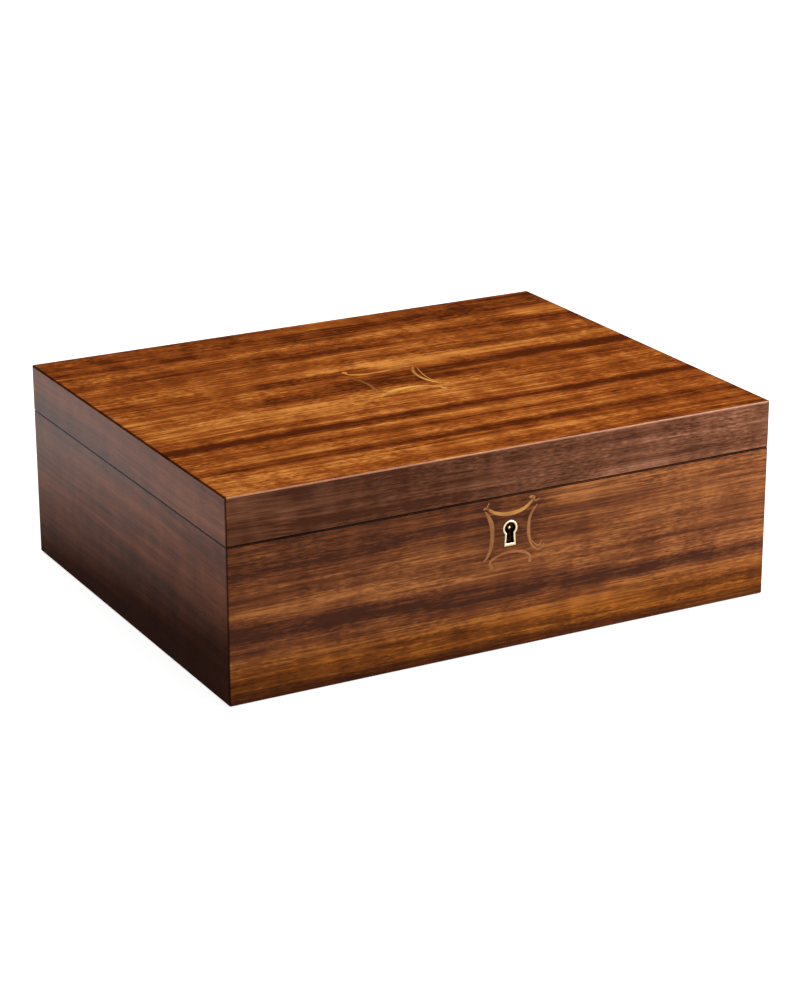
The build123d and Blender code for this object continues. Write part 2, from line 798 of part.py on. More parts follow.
with BuildPart() as hinge_pins:
    with Locations(*[Location((x, hinge_axis_y, hinge_axis_z), (0, 90, 0)) for x in hinge_centres]):
        Cylinder(hinge_pin_radius, hinge_length - knuckle_gap)
keep(hinge_pins.part, "hinge_pins")

# Lock: a plate turned over the rim as a selvedge, a shallow case in front of it, a bolt with
# two prongs that slides behind the keyhole, and a strike plate in the lid with two staples
staple_places = [(way * staple_pitch / 2, bolt_middle) for way in (-1, 1)]
stud_level = (bolt_bottom + bolt_top) / 2
stud_length = lock_back - (bolt_middle - bolt_thickness / 2) + prong_gap
selvedge_bottom = case_top - selvedge_thickness

with BuildPart() as lock_plate:
    with BuildSketch(Plane.XY.offset(selvedge_bottom)):
        with Locations((0, front_inside)):
            Rectangle(selvedge_length, selvedge_width, align=(Align.CENTER, Align.MAX))
        with Locations(*staple_places):
            Rectangle(
                staple_thickness + 2 * staple_play,
                staple_width + 2 * staple_play,
                mode=Mode.SUBTRACT,
            )
    extrude(amount=selvedge_thickness)
    with BuildSketch(Plane.XY.offset(lock_floor)):
        with Locations((0, front_inside)):
            Rectangle(lock_width, lock_plate_thickness, align=(Align.CENTER, Align.MAX))
    extrude(amount=selvedge_bottom - lock_floor)
    wood_screws(lock_screws, case_top, mode=Mode.SUBTRACT)
    # studs that guide the bolt
    with Locations(
        *[Location((way * stud_spread / 2, lock_back, stud_level), (90, 0, 0)) for way in (-1, 1)]
    ):
        Cylinder(guide_radius, stud_length, align=(Align.CENTER, Align.CENTER, Align.MIN))
keep(lock_plate.part, "lock_plate")

with BuildPart() as lock_case:
    with BuildSketch(Plane.XY.offset(lock_floor)):
        with Locations((0, lock_back)):
            Rectangle(lock_width, lock_depth, align=(Align.CENTER, Align.MAX))
    extrude(amount=selvedge_bottom - lock_floor)
    with BuildSketch(Plane.XY.offset(lock_floor + lock_wall)):
        with Locations((0, lock_back)):
            Rectangle(
                lock_width - 2 * lock_wall,
                lock_depth - lock_wall,
                align=(Align.CENTER, Align.MAX),
            )
    extrude(amount=selvedge_bottom - lock_floor, mode=Mode.SUBTRACT)
    with BuildSketch(Plane.XZ.offset(-lock_front)):
        keyhole(keyhole_radius, keyhole_neck, keyhole_foot, keyhole_drop)
    extrude(amount=-lock_wall, mode=Mode.SUBTRACT)
keep(lock_case.part, "lock_case")

prong_tip = staple_thickness / 2 + staple_play
with BuildPart() as lock_bolt:
    with BuildSketch(Plane.XZ.offset(-bolt_middle)):
        bolt_left = -staple_pitch / 2 - prong_tip - bolt_throw - arm_width
        bolt_right = staple_pitch / 2 + prong_gap * 10
        with Locations((bolt_left, bolt_bottom)):
            Rectangle(bolt_right - bolt_left, bolt_height, align=Align.MIN)
        for x, _ in staple_places:
            with Locations((x - prong_tip - bolt_throw - arm_width, bolt_bottom)):
                Rectangle(arm_width, prong_bottom + prong_height - bolt_bottom, align=Align.MIN)
            with Locations((x - prong_tip - bolt_throw - arm_width, prong_bottom)):
                Rectangle(arm_width + bolt_throw, prong_height, align=Align.MIN)
            with Locations((x - prong_tip, prong_bottom + prong_height / 2)):
                Circle(prong_height / 4)
        with Locations((-bolt_throw / 2, bolt_bottom)):
            Rectangle(talon_width, talon_depth, align=(Align.CENTER, Align.MIN), mode=Mode.SUBTRACT)
        for way in (-1, 1):
            with Locations((way * stud_spread / 2 - bolt_throw / 2, stud_level)):
                SlotCenterToCenter(bolt_throw, 2 * guide_radius + 2 * running, mode=Mode.SUBTRACT)
    extrude(amount=bolt_thickness / 2, both=True)
keep(lock_bolt.part, "lock_bolt")

with BuildPart() as drill_pin:
    with Locations(Location((0, lock_back, keyhole_level), (90, 0, 0))):
        Cylinder(
            drill_pin_radius,
            drill_pin_length,
            align=(Align.CENTER, Align.CENTER, Align.MIN),
        )
keep(drill_pin.part, "drill_pin")

with BuildPart() as escutcheon:
    with BuildSketch(Plane.XZ.offset(-front_face + escutcheon_proud)):
        keyhole(escutcheon_radius, escutcheon_neck, escutcheon_foot, escutcheon_drop)
    extrude(amount=-escutcheon_depth - escutcheon_proud)
    chamfer(escutcheon.faces().sort_by(Axis.Y)[0].edges(), escutcheon_proud)
    with BuildSketch(Plane.XZ.offset(-front_face + escutcheon_proud)):
        keyhole(keyhole_radius, keyhole_neck, keyhole_foot, keyhole_drop)
    extrude(amount=-wall, mode=Mode.SUBTRACT)
keep(escutcheon.part, "keyhole_escutcheon")

with BuildPart() as strike_plate:
    with BuildSketch(Plane.XY.offset(lid_bottom)):
        with Locations((0, front_inside)):
            Rectangle(selvedge_length, selvedge_width, align=(Align.CENTER, Align.MAX))
    extrude(amount=selvedge_thickness)
    with BuildSketch(Plane.XY.offset(staple_bottom)):
        with Locations(*staple_places):
            Rectangle(staple_thickness, staple_width)
    extrude(amount=lid_bottom - staple_bottom)
    with BuildSketch(Plane.XY.offset(staple_bottom + staple_web)):
        with Locations(*staple_places):
            Rectangle(staple_thickness, staple_width - 2 * staple_web)
    extrude(amount=prong_height + 3 * prong_gap, mode=Mode.SUBTRACT)
    wood_screws(lock_screws, lid_bottom, 180, mode=Mode.SUBTRACT)
keep(strike_plate.part, "strike_plate")

# Tray: a mitred frame, rebated for its floor, with halved dividers and a row of ring rolls
tray_width = main_width - 2 * tray_gap
tray_depth = inner_depth - 2 * tray_gap
tray_bottom = deck_top + liner_height + tray_seat
tray_floor_top = tray_bottom + tray_floor_thickness
tray_top = tray_bottom + tray_height
tray_inner_width = tray_width - 2 * tray_wall
tray_inner_depth = tray_depth - 2 * tray_wall
tray_front = -tray_inner_depth / 2
tray_left = main_middle - tray_inner_width / 2

with BuildPart() as tray_ring:
    with BuildSketch(Plane.XY.offset(tray_bottom)):
        Rectangle(tray_width, tray_depth)
    extrude(amount=tray_height)
    chamfer(tray_ring.edges().filter_by(Axis.Z), tray_edge)
    with BuildSketch(Plane.XY.offset(tray_bottom)):
        Rectangle(tray_inner_width, tray_inner_depth)
    extrude(amount=tray_height, mode=Mode.SUBTRACT)
    chamfer(tray_ring.faces().sort_by(Axis.Z)[-1].edges(), tray_edge)
    with BuildSketch(Plane.XY.offset(tray_bottom)):
        Rectangle(tray_width - 2 * tray_rebate, tray_depth - 2 * tray_rebate)
    extrude(amount=tray_floor_thickness, mode=Mode.SUBTRACT)
    with Locations(Location((0, 0, tray_top + scoop_radius - scoop_depth), (0, 90, 0))):
        Cylinder(scoop_radius, box_width, mode=Mode.SUBTRACT)

keep(mitred_frame(tray_ring, tray_width, tray_depth, tray_wall, main_middle), "tray_frame")

with BuildPart() as tray_floor:
    with BuildSketch(Plane.XY.offset(tray_bottom)):
        with Locations((main_middle, 0)):
            Rectangle(
                tray_width - 2 * tray_rebate - 2 * slip,
                tray_depth - 2 * tray_rebate - 2 * slip,
            )
    extrude(amount=tray_floor_thickness)
keep(tray_floor.part, "tray_floor")

back_row_depth = tray_inner_depth - ring_row_depth - middle_row_depth - 2 * divider_thickness
tray_rows = [
    (tray_front, ring_row_depth, 1),
    (tray_front + ring_row_depth + divider_thickness, middle_row_depth, middle_compartments),
    (-tray_front - back_row_depth, back_row_depth, back_compartments),
]
with BuildPart() as tray_dividers:
    with BuildSketch(Plane.XY.offset(tray_floor_top)):
        for row_front, row_depth, count in tray_rows:
            if row_front > tray_front:
                with Locations((main_middle, row_front)):
                    Rectangle(tray_inner_width, divider_thickness, align=(Align.CENTER, Align.MAX))
            for index in range(1, count):
                across = tray_left + index * (tray_inner_width + divider_thickness) / count
                with Locations((across, row_front - divider_thickness / 2)):
                    Rectangle(divider_thickness, row_depth + divider_thickness / 2, align=(Align.MAX, Align.MIN))
    extrude(amount=divider_rise)
    chamfer(tray_dividers.faces().sort_by(Axis.Z)[-1].edges(), tray_edge)
keep(tray_dividers.part, "tray_dividers")

with BuildPart() as tray_pads:
    with BuildSketch(Plane.XY.offset(tray_floor_top)):
        for row_front, row_depth, count in tray_rows[1:]:
            pitch = (tray_inner_width + divider_thickness) / count
            for index in range(count):
                with Locations((tray_left + index * pitch + slip, row_front + slip)):
                    Rectangle(pitch - divider_thickness - 2 * slip, row_depth - 2 * slip, align=Align.MIN)
    extrude(amount=velvet)
keep(tray_pads.part, "tray_pads")

# Ring rolls: padded bolsters side by side, flattened where they lie on the tray's floor
roll_pitch = ring_row_depth / roll_count
roll_level = tray_floor_top + roll_radius - roll_flat
with BuildPart() as ring_rolls:
    with Locations(
        *[
            Location((main_middle, tray_front + (index + 0.5) * roll_pitch, roll_level), (0, 90, 0))
            for index in range(roll_count)
        ]
    ):
        Cylinder(roll_radius, tray_inner_width - 4 * slip)
    with BuildSketch(Plane.XY.offset(tray_floor_top)):
        Rectangle(box_width, box_depth)
    extrude(amount=-roll_flat, mode=Mode.SUBTRACT)
keep(ring_rolls.part, "ring_rolls")

# Key of the lock, lying on the padding in the middle of the tray: a ring bow, a shank that is
# piped to go over the drill pin, and a bit at right angles to it
key_level = tray_floor_top + velvet + key_shank_radius
with BuildPart() as lock_key:
    with Locations(Location((main_middle, 0, key_level), (0, 90, 0))):
        Cylinder(key_shank_radius, key_length)
    with BuildSketch(Plane.XY.offset(key_level - key_bow_thickness / 2)):
        with Locations((main_middle - key_length / 2 - key_bow_radius + key_bow_thickness / 2, 0)):
            Circle(key_bow_radius)
            Circle(key_bow_hole, mode=Mode.SUBTRACT)
    extrude(amount=key_bow_thickness)
    with BuildSketch(Plane.XY.offset(key_level - key_bit_thickness / 2)):
        with Locations((main_middle + key_length / 2 - key_bit_width / 2, 0)):
            Rectangle(key_bit_width, key_bit_reach, align=(Align.CENTER, Align.MIN))
    extrude(amount=key_bit_thickness)
    with Locations(Location((main_middle + key_length / 2, 0, key_level), (0, 90, 0))):
        Cylinder(
            key_pipe_radius,
            key_pipe_depth,
            align=(Align.CENTER, Align.CENTER, Align.MAX),
            mode=Mode.SUBTRACT,
        )
keep(lock_key.part, "lock_key")


# Musical movement: a spring barrel turns a pinned cylinder past a steel comb, and a train of
# wheels ends in a worm with a fan that holds the speed down
def toothed(teeth, module, phase, slim=0.6):
    """Face of a spur wheel about the sketch's origin, one tooth being at the phase."""
    radius = teeth * module / 2
    root, tip = radius - 1.15 * module, radius + 0.8 * module
    pitch = 360 / teeth
    corners = [(root, -0.4), (tip, -0.17 * slim), (tip, 0.17 * slim), (root, 0.4)]
    with BuildLine() as outline:
        Polyline(
            *[
                Vector(reach, 0).rotate(Axis.Z, phase + (tooth + turn) * pitch)
                for tooth in range(teeth)
                for reach, turn in corners
            ],
            close=True,
        )
    make_face(outline.edges())


def across(x, y, z):
    """Plane square to the cylinder's axis at x, with its origin over (y, z)."""
    return Plane(origin=(x, y, z), x_dir=(0, 1, 0), z_dir=(1, 0, 0))


comb_tip_y = barrel_y - cylinder_radius - comb_gap
comb_root_y = comb_tip_y - comb_back
comb_middle = cylinder_right - cylinder_length / 2
comb_bottom = axis_z - 0.9 * comb_thickness
comb_top = comb_bottom + comb_thickness
comb_screw_places = [
    (comb_middle + way * comb_screw_pitch / 2, comb_root_y + comb_screw_inset) for way in (-1, 1)
]
frame_foot_y = (barrel_y - 4 * journal_radius, worm_y + 7.0)
frame_screw_place = (far_cheek_x + 1.1 * comb_screw_head, barrel_y - comb_screw_radius)

with BuildPart() as bedplate:
    with BuildSketch(Plane.XY.offset(deck_top)):
        with Locations(bed_middle):
            RectangleRounded(bed_right - bed_left, bed_back - bed_front, bedplate_corner)
        with Locations((barrel_x, barrel_y)):
            Circle(arbor_radius + running, mode=Mode.SUBTRACT)
    extrude(amount=bedplate_thickness)
    # raised seat under the comb, and the pillar that carries the cylinder's arbor
    with BuildSketch(Plane.XY.offset(deck_top)):
        with Locations((comb_middle, comb_root_y)):
            Rectangle(cylinder_length, comb_seat_depth, align=(Align.CENTER, Align.MIN))
    extrude(amount=comb_bottom - deck_top)
    with BuildSketch(across(pillar_x, barrel_y, axis_z)):
        Circle(3.2 * journal_radius)
        with Locations((0, 0)):
            Rectangle(6.4 * journal_radius, axis_z - deck_top, align=(Align.CENTER, Align.MAX))
    extrude(amount=-pillar_thickness)
    with Locations(Location((pillar_x, barrel_y, axis_z), (0, 90, 0))):
        Cylinder(journal_radius + running, 3 * pillar_thickness, mode=Mode.SUBTRACT)
    screw_holes(comb_screw_places, comb_top, comb_screw_radius, comb_screw_depth)
    screw_holes([frame_screw_place], bedplate_top, comb_screw_radius, comb_screw_depth - plate_thickness)
    movement_hole = movement_screw_length - deck_thickness
    screw_holes(movement_screw_places, deck_top + movement_hole, movement_screw_radius, movement_hole)
keep(bedplate.part, "movement_bedplate")

with BuildPart() as bedplate_screws:
    machine_screws(
        movement_screw_places,
        deck_level,
        180,
        movement_screw_radius,
        movement_screw_head,
        movement_screw_cap,
        movement_screw_length,
    )
keep(bedplate_screws.part, "bedplate_screws")

# Spring barrel: a drum on a flange whose crown teeth point upwards under the cylinder's pinion
with BuildPart() as barrel:
    with BuildSketch(Plane.XY.offset(flange_bottom)):
        with Locations((barrel_x, barrel_y)):
            Circle(crown_rim)
    extrude(amount=flange_thickness)
    with BuildSketch(Plane.XY.offset(flange_top)):
        with Locations((barrel_x, barrel_y)):
            Circle(drum_radius)
            Circle(drum_radius - drum_wall, mode=Mode.SUBTRACT)
    extrude(amount=drum_height)
    crown_tip = flange_top + 2 * crown_module
    with BuildSketch(Plane((barrel_x, barrel_y, 0), x_dir=(0, 1, 0), z_dir=(-1, 0, 0)).offset(crown_rim)):
        Polygon(
            (0.78 * crown_module, -flange_top + slip),
            (0.35 * crown_module, -crown_tip),
            (-0.35 * crown_module, -crown_tip),
            (-0.78 * crown_module, -flange_top + slip),
            align=None,
        )
    tooth = extrude(amount=-crown_face - slip, mode=Mode.PRIVATE)
    axle = Axis((barrel_x, barrel_y, 0), (0, 0, 1))
    for index in range(crown_teeth):
        add(tooth.rotate(axle, index * 360 / crown_teeth))
    with Locations((barrel_x, barrel_y, flange_bottom)):
        Cylinder(arbor_radius + running, 4 * flange_thickness, mode=Mode.SUBTRACT)
keep(barrel.part, "spring_barrel")

barrel_top = flange_top + drum_height
with BuildPart() as barrel_cap:
    with BuildSketch(Plane.XY.offset(barrel_top - barrel_cap_thickness)):
        with Locations((barrel_x, barrel_y)):
            Circle(drum_radius - drum_wall)
            Circle(arbor_radius + running, mode=Mode.SUBTRACT)
    extrude(amount=barrel_cap_thickness)
keep(barrel_cap.part, "barrel_cap")

# Mainspring: a flat strip coiled in half turns from the arbor out to the drum
coil_inner = arbor_radius + spring_strip / 2 + slip
coil_outer = drum_radius - drum_wall - spring_strip / 2
coil_step = (coil_outer - coil_inner) / (2 * spring_turns)
with BuildPart() as mainspring:
    with BuildSketch(Plane.XY.offset(flange_top + 2 * slip)):
        for half in range(2 * spring_turns):
            centre = (barrel_x - (half % 2) * coil_step, barrel_y)
            radius = coil_inner + half * coil_step
            with BuildLine():
                inner_arc = CenterArc(centre, radius - spring_strip / 2, 180 * (half % 2), 180)
                outer_arc = CenterArc(centre, radius + spring_strip / 2, 180 * (half % 2), 180)
                Line(inner_arc @ 0, outer_arc @ 0)
                Line(inner_arc @ 1, outer_arc @ 1)
            make_face()
    extrude(amount=drum_height - barrel_cap_thickness - 4 * slip)
keep(mainspring.part, "mainspring")

with BuildPart() as winding_arbor:
    with BuildSketch(Plane.XY.offset(arbor_bottom)):
        with Locations((barrel_x, barrel_y)):
            Circle(arbor_radius)
    extrude(amount=barrel_top + arbor_standing - arbor_bottom)
keep(winding_arbor.part, "winding_arbor")

with BuildPart() as winding_key:
    with BuildSketch(Plane.XY.offset(arbor_bottom - slip)):
        with Locations((barrel_x, barrel_y)):
            Circle(key_hub_radius)
    extrude(amount=key_hub_height)
    with BuildSketch(Plane.XZ.offset(-barrel_y)):
        with Locations(
            (barrel_x - key_lobe_spread, arbor_bottom - slip),
            (barrel_x + key_lobe_spread, arbor_bottom - slip),
        ):
            Circle(key_lobe_radius)
    extrude(amount=key_plate / 2, both=True)
    with BuildSketch(Plane.XY.offset(arbor_bottom)):
        with Locations((barrel_x, barrel_y)):
            Circle(arbor_radius)
    extrude(amount=key_hub_height, mode=Mode.SUBTRACT)
keep(winding_key.part, "winding_key")

# Pinned cylinder on its arbor, with the pinion that the barrel drives and the first wheel
with BuildPart() as pinned_cylinder:
    with Locations(Location((cylinder_right, barrel_y, axis_z), (0, -90, 0))):
        Cylinder(
            cylinder_radius,
            cylinder_length,
            align=(Align.CENTER, Align.CENTER, Align.MIN),
        )
        Cylinder(
            2 * journal_radius,
            cylinder_length,
            align=(Align.CENTER, Align.CENTER, Align.MIN),
            mode=Mode.SUBTRACT,
        )
keep(pinned_cylinder.part, "pinned_cylinder")

arbor_right = pinion_x + pinion_face / 2 + 2 * slip
arbor_left = wheel_x - wheel_face - slip
with BuildPart() as cylinder_arbor:
    with BuildSketch(across(arbor_left, barrel_y, axis_z)):
        Circle(journal_radius)
    extrude(amount=arbor_right - arbor_left)
    with BuildSketch(across(cylinder_left, barrel_y, axis_z)):
        Circle(2 * journal_radius)
    extrude(amount=cylinder_length + slip)
    with BuildSketch(across(pinion_x - pinion_face / 2, barrel_y, axis_z)):
        toothed(pinion_teeth, crown_module, -90 + 180 / pinion_teeth, slim=0.55)
    extrude(amount=pinion_face)
keep(cylinder_arbor.part, "cylinder_arbor")

with BuildPart() as first_wheel:
    with BuildSketch(across(wheel_x - wheel_face, barrel_y, axis_z)):
        toothed(wheel_teeth, wheel_module, train_angle)
        Circle(journal_radius, mode=Mode.SUBTRACT)
    extrude(amount=wheel_face)
keep(first_wheel.part, "cylinder_wheel")

comb_width = cylinder_length - slip
with BuildPart() as comb:
    with BuildSketch(Plane.XY.offset(comb_bottom)):
        with Locations((comb_middle, comb_root_y)):
            Rectangle(comb_width, comb_back, align=(Align.CENTER, Align.MIN))
        with Locations(*comb_screw_places):
            RegularPolygon(comb_screw_radius, screw_sides, mode=Mode.SUBTRACT)
        note_pitch = comb_width / note_count
        for index in range(1, note_count):
            root = bass_root + (treble_root - bass_root) * index / note_count
            with Locations((comb_middle - comb_width / 2 + index * note_pitch, comb_tip_y)):
                Rectangle(comb_slot, comb_back - root, align=(Align.CENTER, Align.MAX), mode=Mode.SUBTRACT)
    extrude(amount=comb_thickness)
keep(comb.part, "comb")

# Governor frame: folded brass, with a cheek at each side of the train and an arm over the worm
arm_bottom = worm_top
wheel_radius = wheel_teeth * wheel_module / 2
with BuildPart() as governor_frame:
    with BuildSketch(Plane.XY.offset(bedplate_top)):
        with Locations((far_cheek_x - plate_thickness, frame_foot_y[0])):
            Rectangle(
                cheek_x - far_cheek_x + plate_thickness,
                frame_foot_y[1] - frame_foot_y[0],
                align=Align.MIN,
            )
        # window under the cylinder's wheel
        with Locations((wheel_x + 3 * slip, barrel_y)):
            Rectangle(
                wheel_face + 7 * slip,
                wheel_radius,
                align=(Align.MAX, Align.CENTER),
                mode=Mode.SUBTRACT,
            )
    extrude(amount=plate_thickness)
    with BuildSketch(across(cheek_x, 0, 0)):
        with BuildLine():
            Polyline(
                (frame_foot_y[0], bedplate_top),
                (frame_foot_y[0], axis_z + 2.5 * journal_radius),
                (barrel_y + 2 * journal_radius, axis_z + 3.5 * journal_radius),
                (first_y - journal_radius, first_z + 3 * train_shaft_radius),
                (first_y + journal_radius, first_z + 3 * train_shaft_radius),
                (second_y + 3 * train_shaft_radius, second_z + 2 * train_shaft_radius),
                (second_y + 3 * train_shaft_radius, bedplate_top),
                close=True,
            )
        make_face()
    extrude(amount=-plate_thickness)
    with BuildSketch(across(far_cheek_x, 0, 0)):
        with BuildLine():
            Polyline(
                (first_y - 4 * train_shaft_radius, bedplate_top),
                (first_y - 4 * train_shaft_radius, first_z + train_shaft_radius),
                (first_y - journal_radius, first_z + 3 * train_shaft_radius),
                (first_y + journal_radius, first_z + 3 * train_shaft_radius),
                (second_y + 3 * train_shaft_radius, second_z + 2 * train_shaft_radius),
                (second_y + 3 * train_shaft_radius, bedplate_top),
                close=True,
            )
        make_face()
    extrude(amount=-plate_thickness)
    # post and arm with the worm's upper bearing
    with BuildSketch(Plane.XY.offset(bedplate_top)):
        with Locations((worm_x, frame_foot_y[1])):
            Rectangle(4 * plate_thickness, plate_thickness, align=(Align.CENTER, Align.MAX))
    extrude(amount=arm_bottom + plate_thickness - bedplate_top)
    with BuildSketch(Plane.XY.offset(arm_bottom)):
        with Locations((worm_x, worm_y - 2 * plate_thickness)):
            Rectangle(
                4 * plate_thickness,
                frame_foot_y[1] - worm_y + 2 * plate_thickness,
                align=(Align.CENTER, Align.MIN),
            )
    extrude(amount=plate_thickness)
    with Locations(Location((cheek_x, barrel_y, axis_z), (0, 90, 0))):
        Cylinder(journal_radius + running, 3 * plate_thickness, mode=Mode.SUBTRACT)
    for y, z in ((first_y, first_z), (second_y, second_z)):
        with Locations(Location(((cheek_x + far_cheek_x) / 2, y, z), (0, 90, 0))):
            Cylinder(train_shaft_radius + running, box_depth, mode=Mode.SUBTRACT)
    with Locations((worm_x, worm_y, arm_bottom)):
        Cylinder(worm_shaft_radius + running, box_height, mode=Mode.SUBTRACT)
    screw_holes([frame_screw_place], bedplate_top + plate_thickness, comb_screw_radius, plate_thickness)
keep(governor_frame.part, "governor_frame")

# Identical screws hold the comb on its seat and the governor frame on the bedplate
small_screw = (comb_screw_radius, comb_screw_head, comb_screw_cap, comb_screw_depth)
with BuildPart() as small_screws:
    machine_screws(comb_screw_places, comb_top, 0, *small_screw)
    machine_screws([frame_screw_place], bedplate_top + plate_thickness, 0, *small_screw)
keep(small_screws.part, "machine_screws")


def train_shaft(y, z):
    """Shaft from the outside of one cheek to the outside of the other."""
    with BuildSketch(across(far_cheek_x - plate_thickness, y, z)) as section:
        Circle(train_shaft_radius)
    extrude(section.sketch, amount=cheek_x - far_cheek_x + plate_thickness)


with BuildPart() as intermediate_wheel:
    train_shaft(first_y, first_z)
    with BuildSketch(across(wheel_x - wheel_face - slip, first_y, first_z)):
        toothed(leaf_pinion_teeth, wheel_module, train_angle + 180 + 180 / leaf_pinion_teeth)
    extrude(amount=wheel_face + 2 * slip)
    with BuildSketch(across(train_x - train_face, first_y, first_z)):
        toothed(train_teeth, train_module, worm_wheel_angle)
    extrude(amount=train_face)
keep(intermediate_wheel.part, "intermediate_wheel")

with BuildPart() as worm_wheel:
    train_shaft(second_y, second_z)
    with BuildSketch(across(train_x - train_face - slip, second_y, second_z)):
        toothed(leaf_pinion_teeth, train_module, worm_wheel_angle + 180 + 180 / leaf_pinion_teeth)
    extrude(amount=train_face + 2 * slip)
    with BuildSketch(across(worm_wheel_x - wheel_face, second_y, second_z)):
        toothed(worm_wheel_teeth, train_module, 0)
    extrude(amount=wheel_face)
keep(worm_wheel.part, "worm_wheel")

# Worm: one thread wound up a thin shaft, stepping one worm wheel tooth in each turn
worm_pitch = pi * train_module
worm_start = second_z - worm_turns / 2 * worm_pitch
with BuildPart() as governor_worm:
    with BuildSketch(Plane.XY.offset(bedplate_top + 2 * slip)):
        with Locations((worm_x, worm_y)):
            Circle(worm_shaft_radius)
    extrude(amount=arm_bottom + plate_thickness - bedplate_top - 4 * slip)
    with BuildSketch(Plane.XY.offset(worm_start - worm_pitch / 2)):
        with Locations((worm_x, worm_y)):
            Circle(worm_root_radius)
    extrude(amount=fan_bottom - slip - worm_start + worm_pitch / 2)
    with BuildLine():
        coil = Helix(
            worm_pitch,
            worm_turns * worm_pitch,
            worm_pitch_radius,
            center=(worm_x, worm_y, worm_start),
        )
    with BuildSketch(Plane(coil @ 0, x_dir=(1, 0, 0), z_dir=coil % 0)):
        Polygon(
            (worm_root_radius - worm_pitch_radius - slip, -0.22 * worm_pitch),
            (worm_tip_radius - worm_pitch_radius, 0),
            (worm_root_radius - worm_pitch_radius - slip, 0.22 * worm_pitch),
            align=None,
        )
    sweep(path=coil, is_frenet=True)
keep(governor_worm.part, "governor_worm")

with BuildPart() as governor_fan:
    with BuildSketch(Plane.XY.offset(fan_bottom)):
        with Locations((worm_x, worm_y)):
            Circle(fan_hub_radius)
            Rectangle(2 * fan_radius, fan_blade)
    extrude(amount=fan_height)
    with BuildSketch(Plane.XY.offset(fan_bottom)):
        with Locations((worm_x, worm_y)):
            Circle(fan_hub_radius)
    extrude(amount=brake_bottom - fan_bottom)
    with BuildSketch(Plane.XY.offset(brake_bottom)):
        with Locations((worm_x, worm_y)):
            Circle(drum_brake_radius)
    extrude(amount=drum_brake_height)
    with Locations((worm_x, worm_y, brake_bottom)):
        Cylinder(worm_shaft_radius, box_height, mode=Mode.SUBTRACT)
keep(governor_fan.part, "governor_fan")

# Stop rod: bent wire in the left wall that the closed lid holds down against the fan's drum
stop_tip = worm_x - drum_brake_radius - stop_pad_gap
with BuildPart() as stop_rod:
    with BuildLine() as wire:
        Polyline(
            (rod_x, worm_y, lid_bottom - slip),
            (rod_x, worm_y, rod_arm_z),
            (stop_tip - stop_pad, worm_y, rod_arm_z),
        )
    with BuildSketch(Plane.XY.offset(lid_bottom - slip)):
        with Locations((rod_x, worm_y)):
            Circle(stop_wire_radius)
    sweep(path=wire.line, transition=Transition.RIGHT)
keep(stop_rod.part, "stop_rod")

with BuildPart() as stop_pad_tip:
    with BuildSketch(across(stop_tip - stop_pad, worm_y, rod_arm_z)):
        Circle(stop_wire_radius + slip)
    extrude(amount=stop_pad)
keep(stop_pad_tip.part, "stop_pad")
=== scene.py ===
import math

import bmesh
import bpy
from mathutils import Matrix, Vector


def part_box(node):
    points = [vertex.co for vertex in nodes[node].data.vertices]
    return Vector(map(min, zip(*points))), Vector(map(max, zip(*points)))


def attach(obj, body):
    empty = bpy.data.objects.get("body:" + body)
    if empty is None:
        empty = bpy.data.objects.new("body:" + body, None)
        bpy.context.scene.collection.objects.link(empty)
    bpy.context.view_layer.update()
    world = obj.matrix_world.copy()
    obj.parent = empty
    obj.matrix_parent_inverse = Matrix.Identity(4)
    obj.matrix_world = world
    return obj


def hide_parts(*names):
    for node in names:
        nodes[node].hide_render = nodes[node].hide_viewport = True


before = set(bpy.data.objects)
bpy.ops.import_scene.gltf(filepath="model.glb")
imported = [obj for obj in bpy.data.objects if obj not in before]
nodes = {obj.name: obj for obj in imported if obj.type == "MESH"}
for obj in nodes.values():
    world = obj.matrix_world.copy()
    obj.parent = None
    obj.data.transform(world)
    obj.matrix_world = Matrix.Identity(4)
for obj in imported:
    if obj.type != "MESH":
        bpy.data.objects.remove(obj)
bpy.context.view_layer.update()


# View and light: the box is seen from its front left corner, a little from above, in a plain
# white studio. A large soft lamp and a small near one stand in front on the right, and a weaker
# one behind.
def put(tree, socket, value):
    """Links a socket, or sets its value."""
    if isinstance(value, bpy.types.NodeSocket):
        tree.links.new(value, socket)
    else:
        socket.default_value = value


def node(tree, kind, *values, settings=(), **named):
    """Adds a shader node; values fill its inputs in order, and None leaves one as it is."""
    made = tree.nodes.new(kind if "Node" in kind else "ShaderNode" + kind)
    for key, value in dict(settings).items():
        setattr(made, key, value)
    for socket, value in zip(made.inputs, values):
        if value is not None:
            put(tree, socket, value)
    for key, value in named.items():
        put(tree, made.inputs[key.replace("_", " ")], value)
    return made


def out(tree, kind, *values, **named):
    """Adds a node and gives its first output."""
    return node(tree, kind, *values, **named).outputs[0]


def maths(tree, operation, *values, clamp=False):
    return out(tree, "Math", *values, settings={"operation": operation, "use_clamp": clamp})


def times(tree, *values, clamp=False):
    return maths(tree, "MULTIPLY", *values, clamp=clamp)


def scaled(tree, value, factor, added, clamp=False):
    """A value times a factor, plus what is added."""
    return maths(tree, "MULTIPLY_ADD", value, factor, added, clamp=clamp)


def less(tree, value, taken):
    return maths(tree, "SUBTRACT", value, taken)


def tint(r, g, b):
    """A colour written in ordinary 0 to 255 screen values."""
    return (*[((c / 255 + 0.055) / 1.055) ** 2.4 if c > 10 else c / 3295 for c in (r, g, b)], 1.0)


